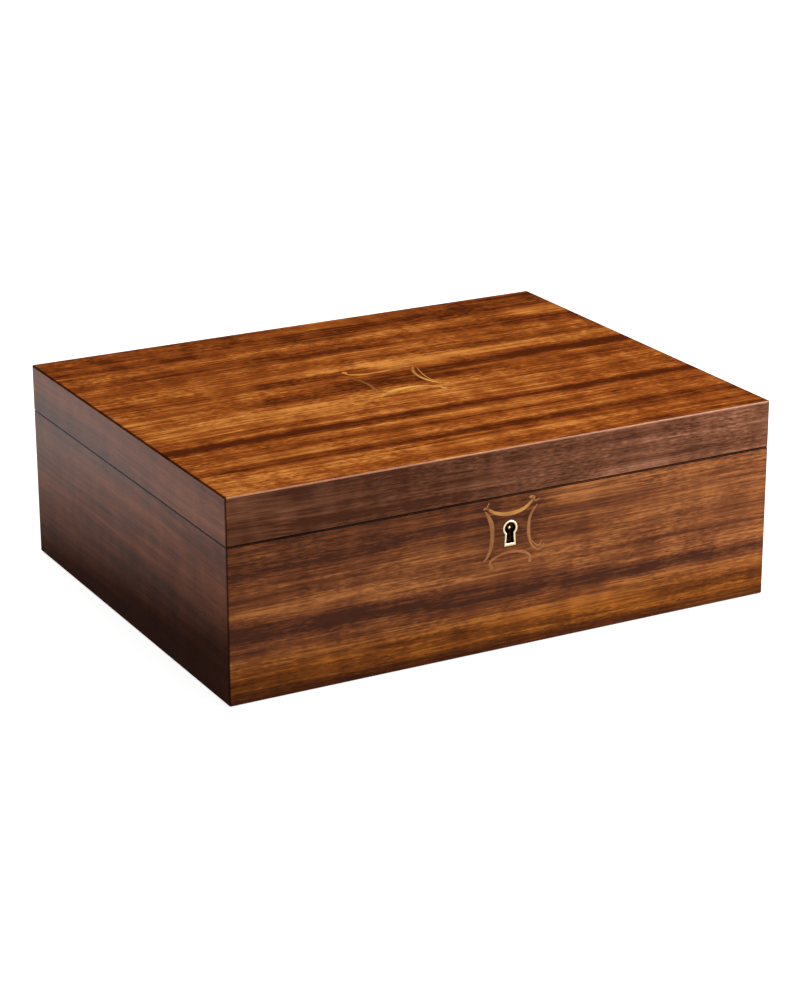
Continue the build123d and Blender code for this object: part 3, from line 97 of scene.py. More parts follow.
camera = bpy.data.objects.new("camera", bpy.data.cameras.new("camera"))
bpy.context.scene.collection.objects.link(camera)
camera.data.lens = 101.5
camera.data.sensor_width = 36.0
camera.location = (-0.66161, -1.22972, 0.53784)
sight = Vector((0.44833, 0.82845, -0.33565)).to_track_quat("-Z", "Y").to_matrix()
camera.matrix_world = Matrix.Translation(camera.location) @ (
    sight @ Matrix.Rotation(math.radians(-0.163), 3, "Z")
).to_4x4()
bpy.context.scene.camera = camera
bpy.context.scene.view_settings.view_transform = "Standard"


def lamp(name, place, aim, size, power, shade):
    """A square soft lamp."""
    light = bpy.data.lights.new(name, "AREA")
    light.size = size
    light.energy = power
    light.color = shade
    lit = bpy.data.objects.new(name, light)
    bpy.context.scene.collection.objects.link(lit)
    lit.matrix_world = Matrix.Translation(place) @ (
        (Vector(aim) - Vector(place)).to_track_quat("-Z", "Y").to_matrix().to_4x4()
    )


lamp("key_lamp", (1.5, -1.3, 1.7), (0.05, 0, 0.05), 1.1, 30.0, (1.0, 0.97, 0.93))
lamp("rear_lamp", (0.2, 1.6, 1.6), (0, 0, 0.08), 1.2, 14.0, (1.0, 0.98, 0.96))
lamp("near_lamp", (0.5, -0.55, 0.26), (0.12, -0.12, 0.07), 0.3, 3.0, (1.0, 0.96, 0.92))

world = bpy.data.worlds.new("studio")
bpy.context.scene.world = world
world.use_nodes = True
sky = world.node_tree
sky.nodes.clear()
ray = node(sky, "LightPath")
seen = maths(sky, "MAXIMUM", ray.outputs["Is Camera Ray"], ray.outputs["Is Glossy Ray"])
seen = maths(sky, "MAXIMUM", seen, ray.outputs["Is Transmission Ray"])
room_light = 0.45
strength = scaled(sky, seen, 1 - room_light, room_light)
backdrop = out(sky, "Background", (1.0, 1.0, 1.0, 1.0), strength)
node(sky, "OutputWorld", backdrop)

floor_mesh = bpy.data.meshes.new("studio_floor")
reach, sunk = 6, -0.0003
around = ((-reach, -reach), (reach, -reach), (reach, reach), (-reach, reach))
floor_mesh.from_pydata([(x, y, sunk) for x, y in around], [], [(0, 1, 2, 3)])
floor = bpy.data.objects.new("studio_floor", floor_mesh)
bpy.context.scene.collection.objects.link(floor)
paper = bpy.data.materials.new("studio_paper")
paper.use_nodes = True
tree = paper.node_tree
tree.nodes.clear()
ray = node(tree, "LightPath")
seen = maths(tree, "MAXIMUM", ray.outputs["Is Camera Ray"], ray.outputs["Is Transmission Ray"])
lift = times(tree, seen, 0.8)
lift = scaled(tree, ray.outputs["Is Glossy Ray"], 0.15, lift)
matt = out(tree, "BsdfDiffuse", (0.62, 0.62, 0.62, 1.0))
glow = out(tree, "Emission", (1.0, 1.0, 1.0, 1.0), lift)
node(tree, "OutputMaterial", out(tree, "AddShader", matt, glow))
floor_mesh.materials.append(paper)


# Veneered walls: four sheets of a ribbon-striped brown hardwood on the case, its grain running
# round the box, satin lacquered, with dark joint lines at the upright corners.
def mix(tree, factor, first, second, way="MIX"):
    """Mixes two colours."""
    made = tree.nodes.new("ShaderNodeMix")
    made.data_type = "RGBA"
    made.blend_type = way
    made.clamp_factor = True
    for index, value in ((0, factor), (6, first), (7, second)):
        put(tree, made.inputs[index], value)
    return made.outputs[2]


def group(name, inputs, outputs, kind="ShaderNodeTree"):
    """Starts a node group; an input gives its starting value, or else its kind of socket."""
    tree = bpy.data.node_groups.new(name, kind)
    kinds = {float: "Float", int: "Int", tuple: "Color"}
    for label, value in inputs.items():
        sort = kinds.get(type(value), value)
        socket = tree.interface.new_socket(name=label, in_out="INPUT", socket_type="NodeSocket" + sort)
        if sort != value:
            socket.default_value = value
    for label, sort in outputs.items():
        tree.interface.new_socket(name=label, in_out="OUTPUT", socket_type="NodeSocket" + sort)
    return tree, tree.nodes.new("NodeGroupInput").outputs, tree.nodes.new("NodeGroupOutput").inputs


def noise(tree, place, scale, detail=2.0, rough=0.5):
    """Noise whose features are as long as 1 / scale along each axis."""
    spread = out(tree, "VectorMath", place, scale, settings={"operation": "MULTIPLY"})
    return out(tree, "TexNoise", Vector=spread, Scale=1.0, Detail=detail, Roughness=rough)


def ramp(tree, value, low, high, bottom=0.0, top=1.0):
    """Turns the range low to high into bottom to top."""
    return out(tree, "MapRange", value, low, high, bottom, top)


def apart(tree, one, other):
    """How far two values are from each other."""
    return maths(tree, "ABSOLUTE", less(tree, one, other))


def surface(tree):
    """Place on a piece, in metres."""
    return node(tree, "TexCoord").outputs["Object"]


figure, given, result = group(
    "veneer_figure",
    {
        "Vector": "Vector", "Dark": (0.1, 0.03, 0.01, 1), "Middle": (0.25, 0.08, 0.02, 1),
        "Light": (0.5, 0.2, 0.06, 1), "Stripes": 1.0, "Streaks": 1.0, "Fibres": 0.5, "Pores": 1.0,
        "Wander": 6.0, "Fleck": 0.95, "Shade": 0.0,
    },
    {"Color": "Color", "Roughness": "Float", "Height": "Float"},
)
t = figure
# The lengths of the figure are in millimetres.
at = out(t, "VectorMath", given["Vector"], (1000, 1000, 1000), settings={"operation": "MULTIPLY"})
drift = less(t, noise(t, at, (1 / 210, 1 / 70, 1 / 70), 1.5), 0.5)
drift = times(t, drift, given["Wander"])
ripple = less(t, noise(t, at, (1 / 60, 1 / 16, 1 / 16), 1.0), 0.5)
drift = scaled(t, ripple, 1.8, drift)
aside = out(t, "CombineXYZ", 0.0, drift, drift)
along = out(t, "VectorMath", at, aside, settings={"operation": "ADD"})
patch = ramp(t, noise(t, at, (1 / 55, 1 / 17, 1 / 17), 2.0), 0.4, 0.62)
broad = ramp(t, noise(t, along, (1 / 330, 1 / 15, 1 / 15), 3.0, 0.55), 0.36, 0.64, -1.0, 1.0)
thin = ramp(t, noise(t, along, (1 / 170, 1 / 3.0, 1 / 3.0), 3.0, 0.6), 0.33, 0.67, -1.0, 1.0)
thin = times(t, thin, ramp(t, patch, 0.0, 1.0, 0.5, 1.25))
fibre = ramp(t, noise(t, along, (1 / 40, 1 / 0.8, 1 / 0.8), 3.0, 0.6), 0.33, 0.67, -1.0, 1.0)
spread = maths(t, "DIVIDE", 1.0, given["Fleck"])
spread = out(t, "CombineXYZ", 1 / 4.0, spread, spread)
fleck = ramp(t, noise(t, at, spread, 1.0), 0.35, 0.65, -1.0, 1.0)
fleck = times(t, fleck, ramp(t, patch, 0.0, 1.0, 1.1, 0.4))
mottle = ramp(t, noise(t, at, (1 / 13, 1 / 22, 1 / 22), 2.0), 0.35, 0.65, -1.0, 1.0)
tone = times(t, broad, given["Stripes"])
tone = scaled(t, thin, given["Streaks"], tone)
tone = scaled(t, fibre, given["Fibres"], tone)
tone = scaled(t, fleck, times(t, given["Pores"], 0.22), tone)
tone = scaled(t, mottle, 0.22, tone)
tone = less(t, tone, given["Shade"])
shade = mix(t, ramp(t, tone, -1.0, 0.0), given["Dark"], given["Middle"])
shade = mix(t, ramp(t, tone, 0.0, 1.0), shade, given["Light"])
vessel = ramp(t, noise(t, along, (1 / 4.2, 1 / 0.5, 1 / 0.5), 1.0), 0.6, 0.7)
vessel = times(t, vessel, ramp(t, patch, 0.0, 1.0, 1.0, 0.35))
vessel = times(t, vessel, given["Pores"], clamp=True)
pore = mix(t, 0.5, given["Dark"], (0.01, 0.003, 0.001, 1))
shade = mix(t, times(t, vessel, 0.6), shade, pore)
life = scaled(t, fibre, 0.07, 1.0)
life = scaled(t, fleck, times(t, given["Pores"], 0.08), life)
vivid = node(t, "VectorMath", shade, settings={"operation": "SCALE"})
put(t, vivid.inputs["Scale"], life)
put(t, result["Color"], vivid.outputs[0])
gloss = scaled(t, fibre, 0.03, 0.4)
put(t, result["Roughness"], scaled(t, vessel, 0.12, gloss))
relief = scaled(t, fibre, 0.18, 0.5)
put(t, result["Height"], scaled(t, vessel, -0.4, relief))

streak_band, given, result = group(
    "dark_band",
    {
        "Along": 0.0, "Across": 0.0, "Level": 0.03, "Slope": 0.0, "Width": 0.008, "Middle": 0.0,
        "Length": 0.3,
    },
    {"Mask": "Float"},
)
t = streak_band
line = scaled(t, given["Along"], given["Slope"], given["Level"])
waver = out(t, "CombineXYZ", times(t, given["Along"], 17.0), times(t, given["Level"], 400.0), 0.0)
waver = out(t, "TexNoise", Vector=waver, Scale=1.0, Detail=3.0)
waver = less(t, waver, 0.5)
line = scaled(t, waver, given["Width"], line)
gap = apart(t, given["Across"], line)
gap = maths(t, "DIVIDE", gap, given["Width"])
reach = apart(t, given["Along"], given["Middle"])
reach = maths(t, "DIVIDE", reach, given["Length"])
near = ramp(t, gap, 0.2, 0.62, 1.0, 0.0)
put(t, result["Mask"], times(t, near, ramp(t, reach, 0.3, 0.55, 1.0, 0.0)))

edging, given, result = group(
    "corner_line",
    {"Vector": "Vector", "Half width": 0.1525, "Half depth": 0.12, "Line": 0.0007},
    {"Mask": "Float"},
)
t = edging
axes = node(t, "SeparateXYZ", given["Vector"]).outputs
across = maths(t, "ABSOLUTE", axes[0])
deep = maths(t, "ABSOLUTE", axes[1])
near_x = maths(t, "GREATER_THAN", maths(t, "ADD", across, given["Line"]), given["Half width"])
near_y = maths(t, "GREATER_THAN", maths(t, "ADD", deep, given["Line"]), given["Half depth"])
put(t, result["Mask"], times(t, near_x, near_y))


def material(name, specular=0.5, **fixed):
    """A new material and its shader; fixed values go on the shader's own sockets."""
    made = bpy.data.materials.new(name)
    made.use_nodes = True
    tree = made.node_tree
    shader = tree.nodes["Principled BSDF"]
    shader.inputs["Specular IOR Level"].default_value = specular
    for key, value in fixed.items():
        shader.inputs[key.replace("_", " ")].default_value = value
    return made, tree, shader.inputs


def use(tree, source, **values):
    """Places a shader group in a material."""
    made = tree.nodes.new("ShaderNodeGroup")
    made.node_tree = source
    for key, value in values.items():
        put(tree, made.inputs[key.replace("_", " ")], value)
    return made.outputs


def raised(tree, height, depth):
    """Surface normal over a height given in parts of the depth, in metres."""
    return out(tree, "Bump", 1.0, depth, Height=height)


def finish(tree, shader, look, depth):
    """Gives a shader the colour, the roughness and the relief of a look."""
    for label, source in (("Base Color", "Color"), ("Roughness", "Roughness")):
        if source in look:
            put(tree, shader[label], look[source])
    put(tree, shader["Normal"], raised(tree, look["Height"], depth))


def veneer(name, dark, middle, light, turn=0.0, shift=(0, 0, 0), specular=0.25, stripes=0.4,
           streaks=0.4, fibres=0.35, pores=0.8, wander=9.0, across=2, bands=(), foot=0.0, corners=True,
           polish=0.0, mitre=(), fleck=0.95):
    """Veneer with its grain along X, or along Y where it is turned; bands are darker streaks, or
    paler ones below zero, and a few broad ones are painted shade and painted sheen; foot paints
    the bottom warmer and darker as shade; corners gives dark joint lines at the corners and
    painted shade in the seam under the lid; polish is a lacquer film that is thinner towards the
    foot and the front, with painted shade darkening the wood towards the foot; and mitre gives a
    frame's middle and how much longer than deep it is, for boards that meet at their corners."""
    made, tree, shader = material(name, specular)
    here = surface(tree)
    axes = node(tree, "SeparateXYZ", here).outputs
    laid = out(tree, "Mapping", here, shift, (0, 0, math.radians(turn)))
    if mitre:
        reach = apart(tree, axes[0], mitre[0])
        past = less(tree, reach, maths(tree, "ABSOLUTE", axes[1]))
        past = less(tree, past, mitre[1])
        turned = out(tree, "CombineXYZ", axes[1], axes[0], axes[2])
        laid = mix(tree, maths(tree, "GREATER_THAN", past, 0.0), laid, turned)
    dim = 0.0
    for level, slope, width, centre, length, depth in bands:
        mask = use(
            tree, streak_band, Along=axes[0], Across=axes[across], Level=level, Slope=slope,
            Width=width, Middle=centre, Length=length,
        )["Mask"]
        dim = scaled(tree, mask, depth, dim)
    if isinstance(pores, tuple):
        pores = ramp(tree, axes[0], *pores)
    look = use(
        tree, figure, Vector=laid, Dark=tint(*dark), Middle=tint(*middle), Light=tint(*light),
        Stripes=stripes, Streaks=streaks, Fibres=fibres, Pores=pores, Wander=wander, Fleck=fleck, Shade=dim,
    )
    shade = look["Color"]
    if mitre:
        joint = ramp(tree, maths(tree, "ABSOLUTE", past), 0.00035, 0.00015)
        shade = mix(tree, times(tree, joint, 0.7), shade, tint(30, 10, 5))
    if foot:
        # painted shade: towards the foot the colour is made warmer and deeper, as where no sheen falls
        sheenless_foot = ramp(tree, axes[2], foot, foot / 2)
        shade = mix(tree, sheenless_foot, shade, (1.0, 0.88, 0.38, 1.0), "MULTIPLY")
        # painted shade: the last few millimetres above the base are painted dark red-brown
        low = ramp(tree, axes[2], 0.006, 0.0014)
        shade = mix(tree, times(tree, low, 0.7), shade, tint(44, 14, 8))
    if corners:
        line = use(tree, edging, Vector=here)["Mask"]
        shade = mix(tree, times(tree, line, 0.75), shade, tint(30, 10, 5))
        # painted shade: a near-black line on the upright faces along the seam between lid and case
        seam_level = 0.0802
        rim = apart(tree, axes[2], seam_level)
        facing = node(tree, "SeparateXYZ", node(tree, "TexCoord").outputs["Normal"]).outputs[2]
        level = ramp(tree, maths(tree, "ABSOLUTE", facing), 0.97, 0.9)
        painted_seam_shade = times(tree, ramp(tree, rim, 0.0007, 0.00055), level)
        shade = mix(tree, painted_seam_shade, shade, tint(9, 4, 2))
    if polish:
        level = scaled(tree, axes[1], 0.1, axes[2])
        film = ramp(tree, axes[1], -0.12, 0.0, 0.75, 1.0)
        film = times(tree, ramp(tree, level, 0.016, 0.08), film)
        put(tree, shader["Coat Weight"], times(tree, film, polish))
        shader["Coat Roughness"].default_value = 0.32
        # painted shade: the wood is darkened towards the foot
        shade = mix(tree, ramp(tree, level, 0.058, 0.01, 0.0, 0.9), shade, tint(36, 13, 6))
    finish(tree, shader, look, 0.00006)
    put(tree, shader["Base Color"], shade)
    return made, tree, shader, shade


def dress(made, *names):
    """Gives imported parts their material."""
    for name in names:
        for held in nodes[name].material_slots:
            held.material = made


front_veneer = veneer(
    "front_veneer", (68, 36, 24), (112, 63, 35), (164, 103, 56), shift=(0.31, 0.0, 0.012),
    specular=0.05, fibres=0.42, pores=0.9, foot=0.026,
    bands=(
        # painted sheen: a broad paler zone over the right of the front
        (0.05, 0.0, 0.06, 0.1, 0.22, -0.3),
        # painted shade: a broad darker zone over the left of the front
        (0.05, 0.0, 0.09, -0.15, 0.36, 0.15),
        (0.052, 0.0, 0.03, 0.0, 0.045, 0.35),
        (0.0315, -0.035, 0.0085, -0.03, 0.62, 0.85),
        (0.0275, 0.012, 0.006, 0.06, 0.28, 0.5),
        (0.066, 0.0, 0.008, -0.09, 0.2, 0.4),
        (0.043, -0.03, 0.01, -0.09, 0.28, -0.5),
        (0.016, -0.01, 0.011, 0.03, 0.6, -0.4),
        (0.0042, 0.0, 0.005, 0.0, 0.7, 0.35),
        (0.0765, 0.0, 0.006, 0.0, 0.05, 0.6),
        (0.06, 0.0, 0.02, 0.024, 0.1, 0.45),
        (0.029, 0.02, 0.0022, -0.009, 0.055, 1.5),
        (0.0409, 0.0, 0.0015, -0.026, 0.009, -1.5),
        (0.0145, 0.0, 0.003, -0.05, 0.07, 0.9),
        (0.043, 0.0, 0.003, 0.1, 0.14, 0.7),
        (0.013, 0.0, 0.006, 0.13, 0.14, 0.8),
    ),
)[0]
side_veneer = veneer(
    "side_veneer", (62, 29, 15), (124, 65, 36), (162, 92, 56), turn=90, shift=(0.6, 0.2, 0.05),
    specular=0.01, streaks=0.35, fibres=0.2, pores=0.35, polish=0.9,
)[0]
back_veneer = veneer(
    "back_veneer", (60, 28, 16), (116, 62, 33), (164, 100, 54), shift=(1.2, 0.4, 0.3), stripes=0.75,
    streaks=0.5, fibres=0.3, foot=0.02,
)[0]
dress(front_veneer, "front_panel")
dress(side_veneer, "left_panel", "right_panel")
dress(back_veneer, "back_panel")

# Lid: a shallow frame of the same veneer in a duller leaf, under one sheet with bold stripes
# whose edge is left as a fine bevel.
rail_veneer = veneer(
    "rail_veneer", (70, 38, 24), (112, 70, 49), (158, 108, 84), shift=(0.9, 0.1, 0.21), specular=0.03,
    pores=(-0.13, -0.02, 0.2, 1.1), wander=14.0,
    bands=(
        (0.1015, 0.0, 0.006, 0.03, 0.34, 0.35),
        (0.09, -0.01, 0.006, 0.08, 0.16, 0.35),
        # painted shade: a broad darker zone over the left of the rail
        (0.092, 0.0, 0.08, -0.16, 0.3, 0.45),
        # painted sheen: a broad paler zone over the right of the rail
        (0.092, 0.0, 0.08, 0.17, 0.34, -0.3),
    ),
)[0]
top_veneer, tree, shader, shade = veneer(
    "top_veneer", (84, 36, 14), (152, 78, 29), (214, 138, 64), shift=(0.05, 0.02, 0.0), specular=0.0,
    stripes=0.38, streaks=0.44, fibres=0.33, pores=1.0, wander=12.0, corners=False, across=1, fleck=1.7,
    bands=(
        (0.0105, 0.02, 0.011, 0.13, 0.36, 1.0),
        (-0.05, 0.0, 0.011, 0.03, 0.62, 1.0),
        (-0.088, 0.0, 0.007, -0.06, 0.3, 0.6),
        (0.07, 0.0, 0.02, 0.08, 0.4, 0.7),
        (0.104, 0.0, 0.03, 0.0, 0.7, 0.7),
        (0.0, 0.0, 0.25, 0.15, 0.2, 0.3),
        (0.026, 0.0, 0.013, -0.035, 0.09, 0.8),
        (0.0, 0.0, 0.01, -0.02, 0.16, 0.9),
        (-0.02, 0.0, 0.018, 0.06, 0.4, -0.5),
        (0.03, 0.0, 0.012, 0.1, 0.3, -0.5),
        (-0.095, -0.02, 0.02, 0.13, 0.16, 0.3),
    ),
)
here = node(tree, "TexCoord")
facing = node(tree, "SeparateXYZ", here.outputs["Normal"]).outputs
rim = ramp(tree, facing[2], 0.97, 0.8)
end_bevel = 0.1516
ends = maths(tree, "ABSOLUTE", out(tree, "SeparateXYZ", here.outputs["Object"]))
ends = maths(tree, "GREATER_THAN", ends, end_bevel)
# painted highlight: the bevel along the top's edges is paled towards a light pinkish tint
bevel_highlight = times(tree, rim, less(tree, 1.0, ends))
shade = mix(tree, times(tree, bevel_highlight, 0.45), shade, tint(196, 150, 124))
shade = mix(tree, times(tree, ends, 0.8), shade, tint(38, 14, 8))
put(tree, shader["Base Color"], shade)
put(tree, shader["Coat Weight"], times(tree, bevel_highlight, 0.6))
shader["Coat Roughness"].default_value = 0.25
dress(rail_veneer, "lid_front_rail")
dress(side_veneer, "lid_end_rails")
dress(back_veneer, "lid_back_rail")
dress(top_veneer, "lid_veneer", "lid_panel")

# Base: a board stained nearly black, screwed up into the walls from below, with a sheet of green
# baize glued under it and a round opening for the winding key.
def piece(name, mesh, body, look, replaces=(), smooth=True):
    """Places a mesh, or the mesh of a bmesh, on its body, in its material."""
    if isinstance(mesh, bmesh.types.BMesh):
        mesh = closed(name, mesh)
    mesh.validate()
    made = bpy.data.objects.new(name, mesh)
    bpy.context.scene.collection.objects.link(made)
    mesh.materials.clear()
    mesh.materials.append(look)
    for face in mesh.polygons:
        face.use_smooth = smooth
    if smooth:
        mesh.set_sharp_from_angle(angle=math.radians(50))
    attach(made, body)
    if replaces:
        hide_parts(*replaces)
    return made


def closed(name, shape):
    """Turns a bmesh into a mesh whose faces point outwards."""
    bmesh.ops.remove_doubles(shape, verts=shape.verts, dist=1e-7)
    bmesh.ops.recalc_face_normals(shape, faces=shape.faces)
    made = bpy.data.meshes.new(name)
    shape.to_mesh(made)
    shape.free()
    return made


def skin(shape, rings):
    """Joins each ring of corners to the next; a ring may be a single corner."""
    for one, other in zip(rings, rings[1:]):
        for step in range(max(len(one), len(other))):
            corners = [one[step % len(one)], one[(step + 1) % len(one)]]
            corners += [other[(step + 1) % len(other)], other[step % len(other)]]
            shape.faces.new(list(dict.fromkeys(corners)))


stained, tree, shader = material("stained_base", 0.35)
look = use(
    tree, figure, Vector=surface(tree), Dark=tint(20, 12, 10), Middle=tint(38, 22, 17),
    Light=tint(54, 34, 26), Stripes=0.4, Streaks=0.4, Fibres=0.3, Pores=0.7,
)
finish(tree, shader, look, 0.00008)
dress(stained, "base_panel")

wool, given, result = group(
    "wool_felt",
    {"Vector": "Vector", "Deep": (0.02, 0.05, 0.03, 1), "Raised": (0.06, 0.14, 0.09, 1), "Fibre": 0.0005},
    {"Color": "Color", "Height": "Float"},
)
t = wool
fine = node(t, "VectorMath", given["Vector"], settings={"operation": "SCALE"})
put(t, fine.inputs["Scale"], maths(t, "DIVIDE", 1.0, given["Fibre"]))
hair = out(t, "TexNoise", Vector=fine.outputs[0], Scale=1.0, Detail=4.0, Roughness=0.7, Distortion=1.4)
tuft = noise(t, given["Vector"], (260, 260, 260), 3.0, 0.6)
worn = scaled(t, tuft, 0.6, times(t, hair, 0.5))
put(t, result["Color"], mix(t, ramp(t, worn, 0.35, 0.75), given["Deep"], given["Raised"]))
put(t, result["Height"], scaled(t, tuft, 0.4, hair))

baize, tree, shader = material("green_baize", 0.2, Roughness=0.95, Sheen_Weight=0.15, Sheen_Roughness=0.6)
look = use(tree, wool, Vector=surface(tree), Deep=tint(12, 26, 18), Raised=tint(30, 52, 38), Fibre=0.0005)
finish(tree, shader, look, 0.00025)

low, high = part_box("base_felt")
hole = Vector((-0.091, 0.074))
hole_radius = 0.023
soft = 0.0004
spokes = 128


def spoke_end(angle, inset):
    """Where a line from the middle of the hole meets the sheet's outline."""
    way = Vector((math.cos(angle), math.sin(angle)))
    reach = []
    for axis in (0, 1):
        if abs(way[axis]) > 1e-9:
            edge = (high[axis] - inset) if way[axis] > 0 else (low[axis] + inset)
            reach.append((edge - hole[axis]) / way[axis])
    return hole + way * min(reach)


corners = [math.atan2(y - hole.y, x - hole.x) for x in (low.x, high.x) for y in (low.y, high.y)]
angles = sorted([2 * math.pi * step / spokes - math.pi for step in range(spokes)] + corners)
section = [(0.0, soft, 1.0), (soft, 0.0, 1.0), (high.z - soft, 0.0, 1.0), (high.z, soft, 1.0)]
section += [(high.z, soft, share) for share in (0.75, 0.5, 0.25, 0.0)]
section += [(high.z - soft, 0.0, 0.0), (soft, 0.0, 0.0)]
section += [(0.0, soft, share) for share in (0.0, 0.25, 0.5, 0.75)]
shape = bmesh.new()
rings = []
for level, inset, share in section:
    ring = []
    for angle in angles:
        inner = hole + Vector((math.cos(angle), math.sin(angle))) * (hole_radius + inset)
        at = inner.lerp(spoke_end(angle, inset), share)
        ring.append(shape.verts.new((at.x, at.y, level)))
    rings.append(ring)
skin(shape, rings + rings[:1])
felt = piece("base_baize", shape, "case", baize, ["base_felt"])

# Velvet: boards and pads covered in wine-red cotton velvet, glued down, that line the bays, the
# tray and the lid.
pile, given, result = group(
    "velvet_pile",
    {"Vector": "Vector", "Deep": (0.1, 0.005, 0.01, 1), "Brushed": (0.3, 0.02, 0.03, 1), "Crush": 1.0},
    {"Color": "Color", "Roughness": "Float", "Height": "Float"},
)
t = pile
swirl = out(t, "TexNoise", Vector=given["Vector"], Scale=32.0, Detail=3.0, Roughness=0.5, Distortion=0.5)
nap = noise(t, given["Vector"], (1700, 900, 1700), 2.0, 0.6)
brushed = times(t, ramp(t, swirl, 0.36, 0.68), given["Crush"])
brushed = scaled(t, less(t, nap, 0.5), 0.9, brushed, clamp=True)
put(t, result["Color"], mix(t, brushed, given["Deep"], given["Brushed"]))
put(t, result["Roughness"], ramp(t, brushed, 0.0, 1.0, 0.92, 0.78))
put(t, result["Height"], scaled(t, swirl, 0.5, nap))

velvet, tree, shader = material(
    "wine_velvet", 0.15, Sheen_Weight=0.9, Sheen_Roughness=0.35, Sheen_Tint=(0.9, 0.35, 0.38, 1.0)
)
look = use(tree, pile, Vector=surface(tree), Deep=tint(84, 12, 23), Brushed=tint(128, 24, 38), Crush=0.8)
finish(tree, shader, look, 0.0002)


def stops(first, last, soft, spacing):
    """Places along one side of a pad, close together where its edge is rounded."""
    inner = max(2, round((last - first - 2 * soft) / spacing))
    near = [soft * share for share in (0.0, 0.12, 0.35, 0.65)]
    middle = [first + soft + (last - first - 2 * soft) * step / inner for step in range(inner + 1)]
    return [first + gap for gap in near] + middle + [last - gap for gap in reversed(near)]


def pad(shape, low, high, soft, crown=0.0, spacing=0.008, wander=0.0, down=False):
    """A covered board: soft is how far its edge is rounded, crown how much its middle swells."""
    across, deep = stops(low[0], high[0], soft, spacing), stops(low[1], high[1], soft, spacing)
    base, face = (high[2], low[2]) if down else (low[2], high[2])
    way = -1.0 if down else 1.0

    def level(x, y):
        gap = min(x - low[0], high[0] - x, y - low[1], high[1] - y)
        edge = max(soft - gap, 0.0)
        off_x = 2 * (x - low[0]) / (high[0] - low[0]) - 1
        off_y = 2 * (y - low[1]) / (high[1] - low[1]) - 1
        swell = 1 - (1 - off_x**2) * (1 - off_y**2)
        uneven = wander * math.sin(x * 311 + y * 97) * math.sin(y * 263 - x * 71) * min(gap / (4 * soft), 1)
        return face - way * (soft - math.sqrt(max(soft**2 - edge**2, 0)) + crown * swell + abs(uneven))

    top = [[shape.verts.new((x, y, level(x, y))) for y in deep] for x in across]
    for one, other in zip(top, top[1:]):
        for step in range(len(deep) - 1):
            shape.faces.new((one[step], other[step], other[step + 1], one[step + 1]))
    rim = [row[0] for row in top] + top[-1][1:] + [row[-1] for row in reversed(top[:-1])]
    rim += list(reversed(top[0][1:-1]))
    foot = [shape.verts.new((v.co.x, v.co.y, base)) for v in rim]
    skin(shape, [rim, foot])
    shape.faces.new(foot)


def covered(name, body, replaced, fill, upright, boards, **sizes):
    """One velvet piece of several boards, each given by its spans along X and Y in millimetres."""
    shape = bmesh.new()
    for across, deep in boards:
        low, high = [tuple(span[end] / 1000 for span in (across, deep, upright)) for end in (0, 1)]
        pad(shape, low, high, **sizes)
    made = piece(name, shape, body, velvet, [replaced])


covered(
    "bay_floor_pads", "case", "floor_pads", 0.5, (26, 28),
    (((-64.9, 139.4), (-106.9, 106.9)), ((-142.4, -72.1), (-109.9, 33.9))),
    soft=0.0014, crown=0.0003, wander=0.0001,
)
covered(
    "bay_liners", "case", "tray_liners", 0.8, (26, 46),
    (
        ((-68, 142.5), (-110, -107)), ((-68, 142.5), (107, 110)),
        ((-68, -65), (-106.9, 106.9)), ((139.5, 142.5), (-106.9, 106.9)),
    ),
    soft=0.0012, spacing=0.02,
)
covered(
    "lid_lining_velvet", "lid", "lid_lining", 0.5, (95.7, 98.2), (((-142.4, 142.4), (-109.9, 109.9)),),
    soft=0.0016, spacing=0.01, wander=0.00008, down=True,
)
covered(
    "tray_divider_velvet", "tray", "tray_dividers", 0.8, (49.2, 71.2),
    (
        ((-62, 136.5), (-37.5, -34.5)), ((-62, 136.5), (33.5, 36.5)), ((2.17, 5.17), (-35, 34)),
        ((69.33, 72.33), (-35, 34)), ((35.75, 38.75), (36, 104)),
    ),
    soft=0.0012, spacing=0.02,
)
covered(
    "tray_floor_pads", "tray", "tray_pads", 0.5, (49.2, 50.4),
    (
        ((-61.9, 2.07), (-34.4, 33.4)), ((5.27, 69.23), (-34.4, 33.4)), ((72.43, 136.4), (-34.4, 33.4)),
        ((-61.9, 35.65), (36.6, 103.9)), ((38.85, 136.4), (36.6, 103.9)),
    ),
    soft=0.0009, crown=0.0002, spacing=0.006,
)

# Ring rolls: five velvet bolsters side by side, gathered at their ends; a ring stands in the
# furrow between two of them.
low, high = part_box("ring_rolls")
roll_radius = 0.0065
roll_pitch = 0.0133
row_front = -0.104
roll_sides, roll_steps = 40, 72
end_round, gather_reach, tuck = 0.007, 0.012, 0.0012
folds, fold_depth = 10, 0.07
shape = bmesh.new()
for index in range(5):
    middle = Vector((0, row_front + (index + 0.5) * roll_pitch, low.z + roll_radius - 0.0005))
    rings = []
    for step in range(roll_steps + 1):
        share = 0.5 - 0.5 * math.cos(math.pi * step / roll_steps)
        near = min(share, 1 - share) * (high.x - low.x)
        full = math.sqrt(max(1 - (1 - min(near / end_round, 1)) ** 2, 0))
        swell = 1 + 0.012 * math.sin(share * 19 + index * 1.7)
        x = low.x + share * (high.x - low.x)
        if step in (0, roll_steps):
            x += tuck if step == 0 else -tuck
            rings.append([shape.verts.new((x, middle.y, middle.z))])
            continue
        ring = []
        for side in range(roll_sides):
            angle = 2 * math.pi * side / roll_sides
            gather = 1 + fold_depth * math.cos(angle * folds + index) * max(1 - near / gather_reach, 0)
            radius = min(roll_radius * (0.12 + 0.88 * full) * swell * gather, roll_radius * 1.02)
            at = Vector((x, middle.y + radius * math.cos(angle) * 0.995, middle.z + radius * math.sin(angle)))
            at.z = max(at.z, low.z)
            ring.append(shape.verts.new(at))
        rings.append(ring)
    skin(shape, rings)
rolls = piece("ring_roll_bolsters", shape, "tray", velvet, ["ring_rolls"])

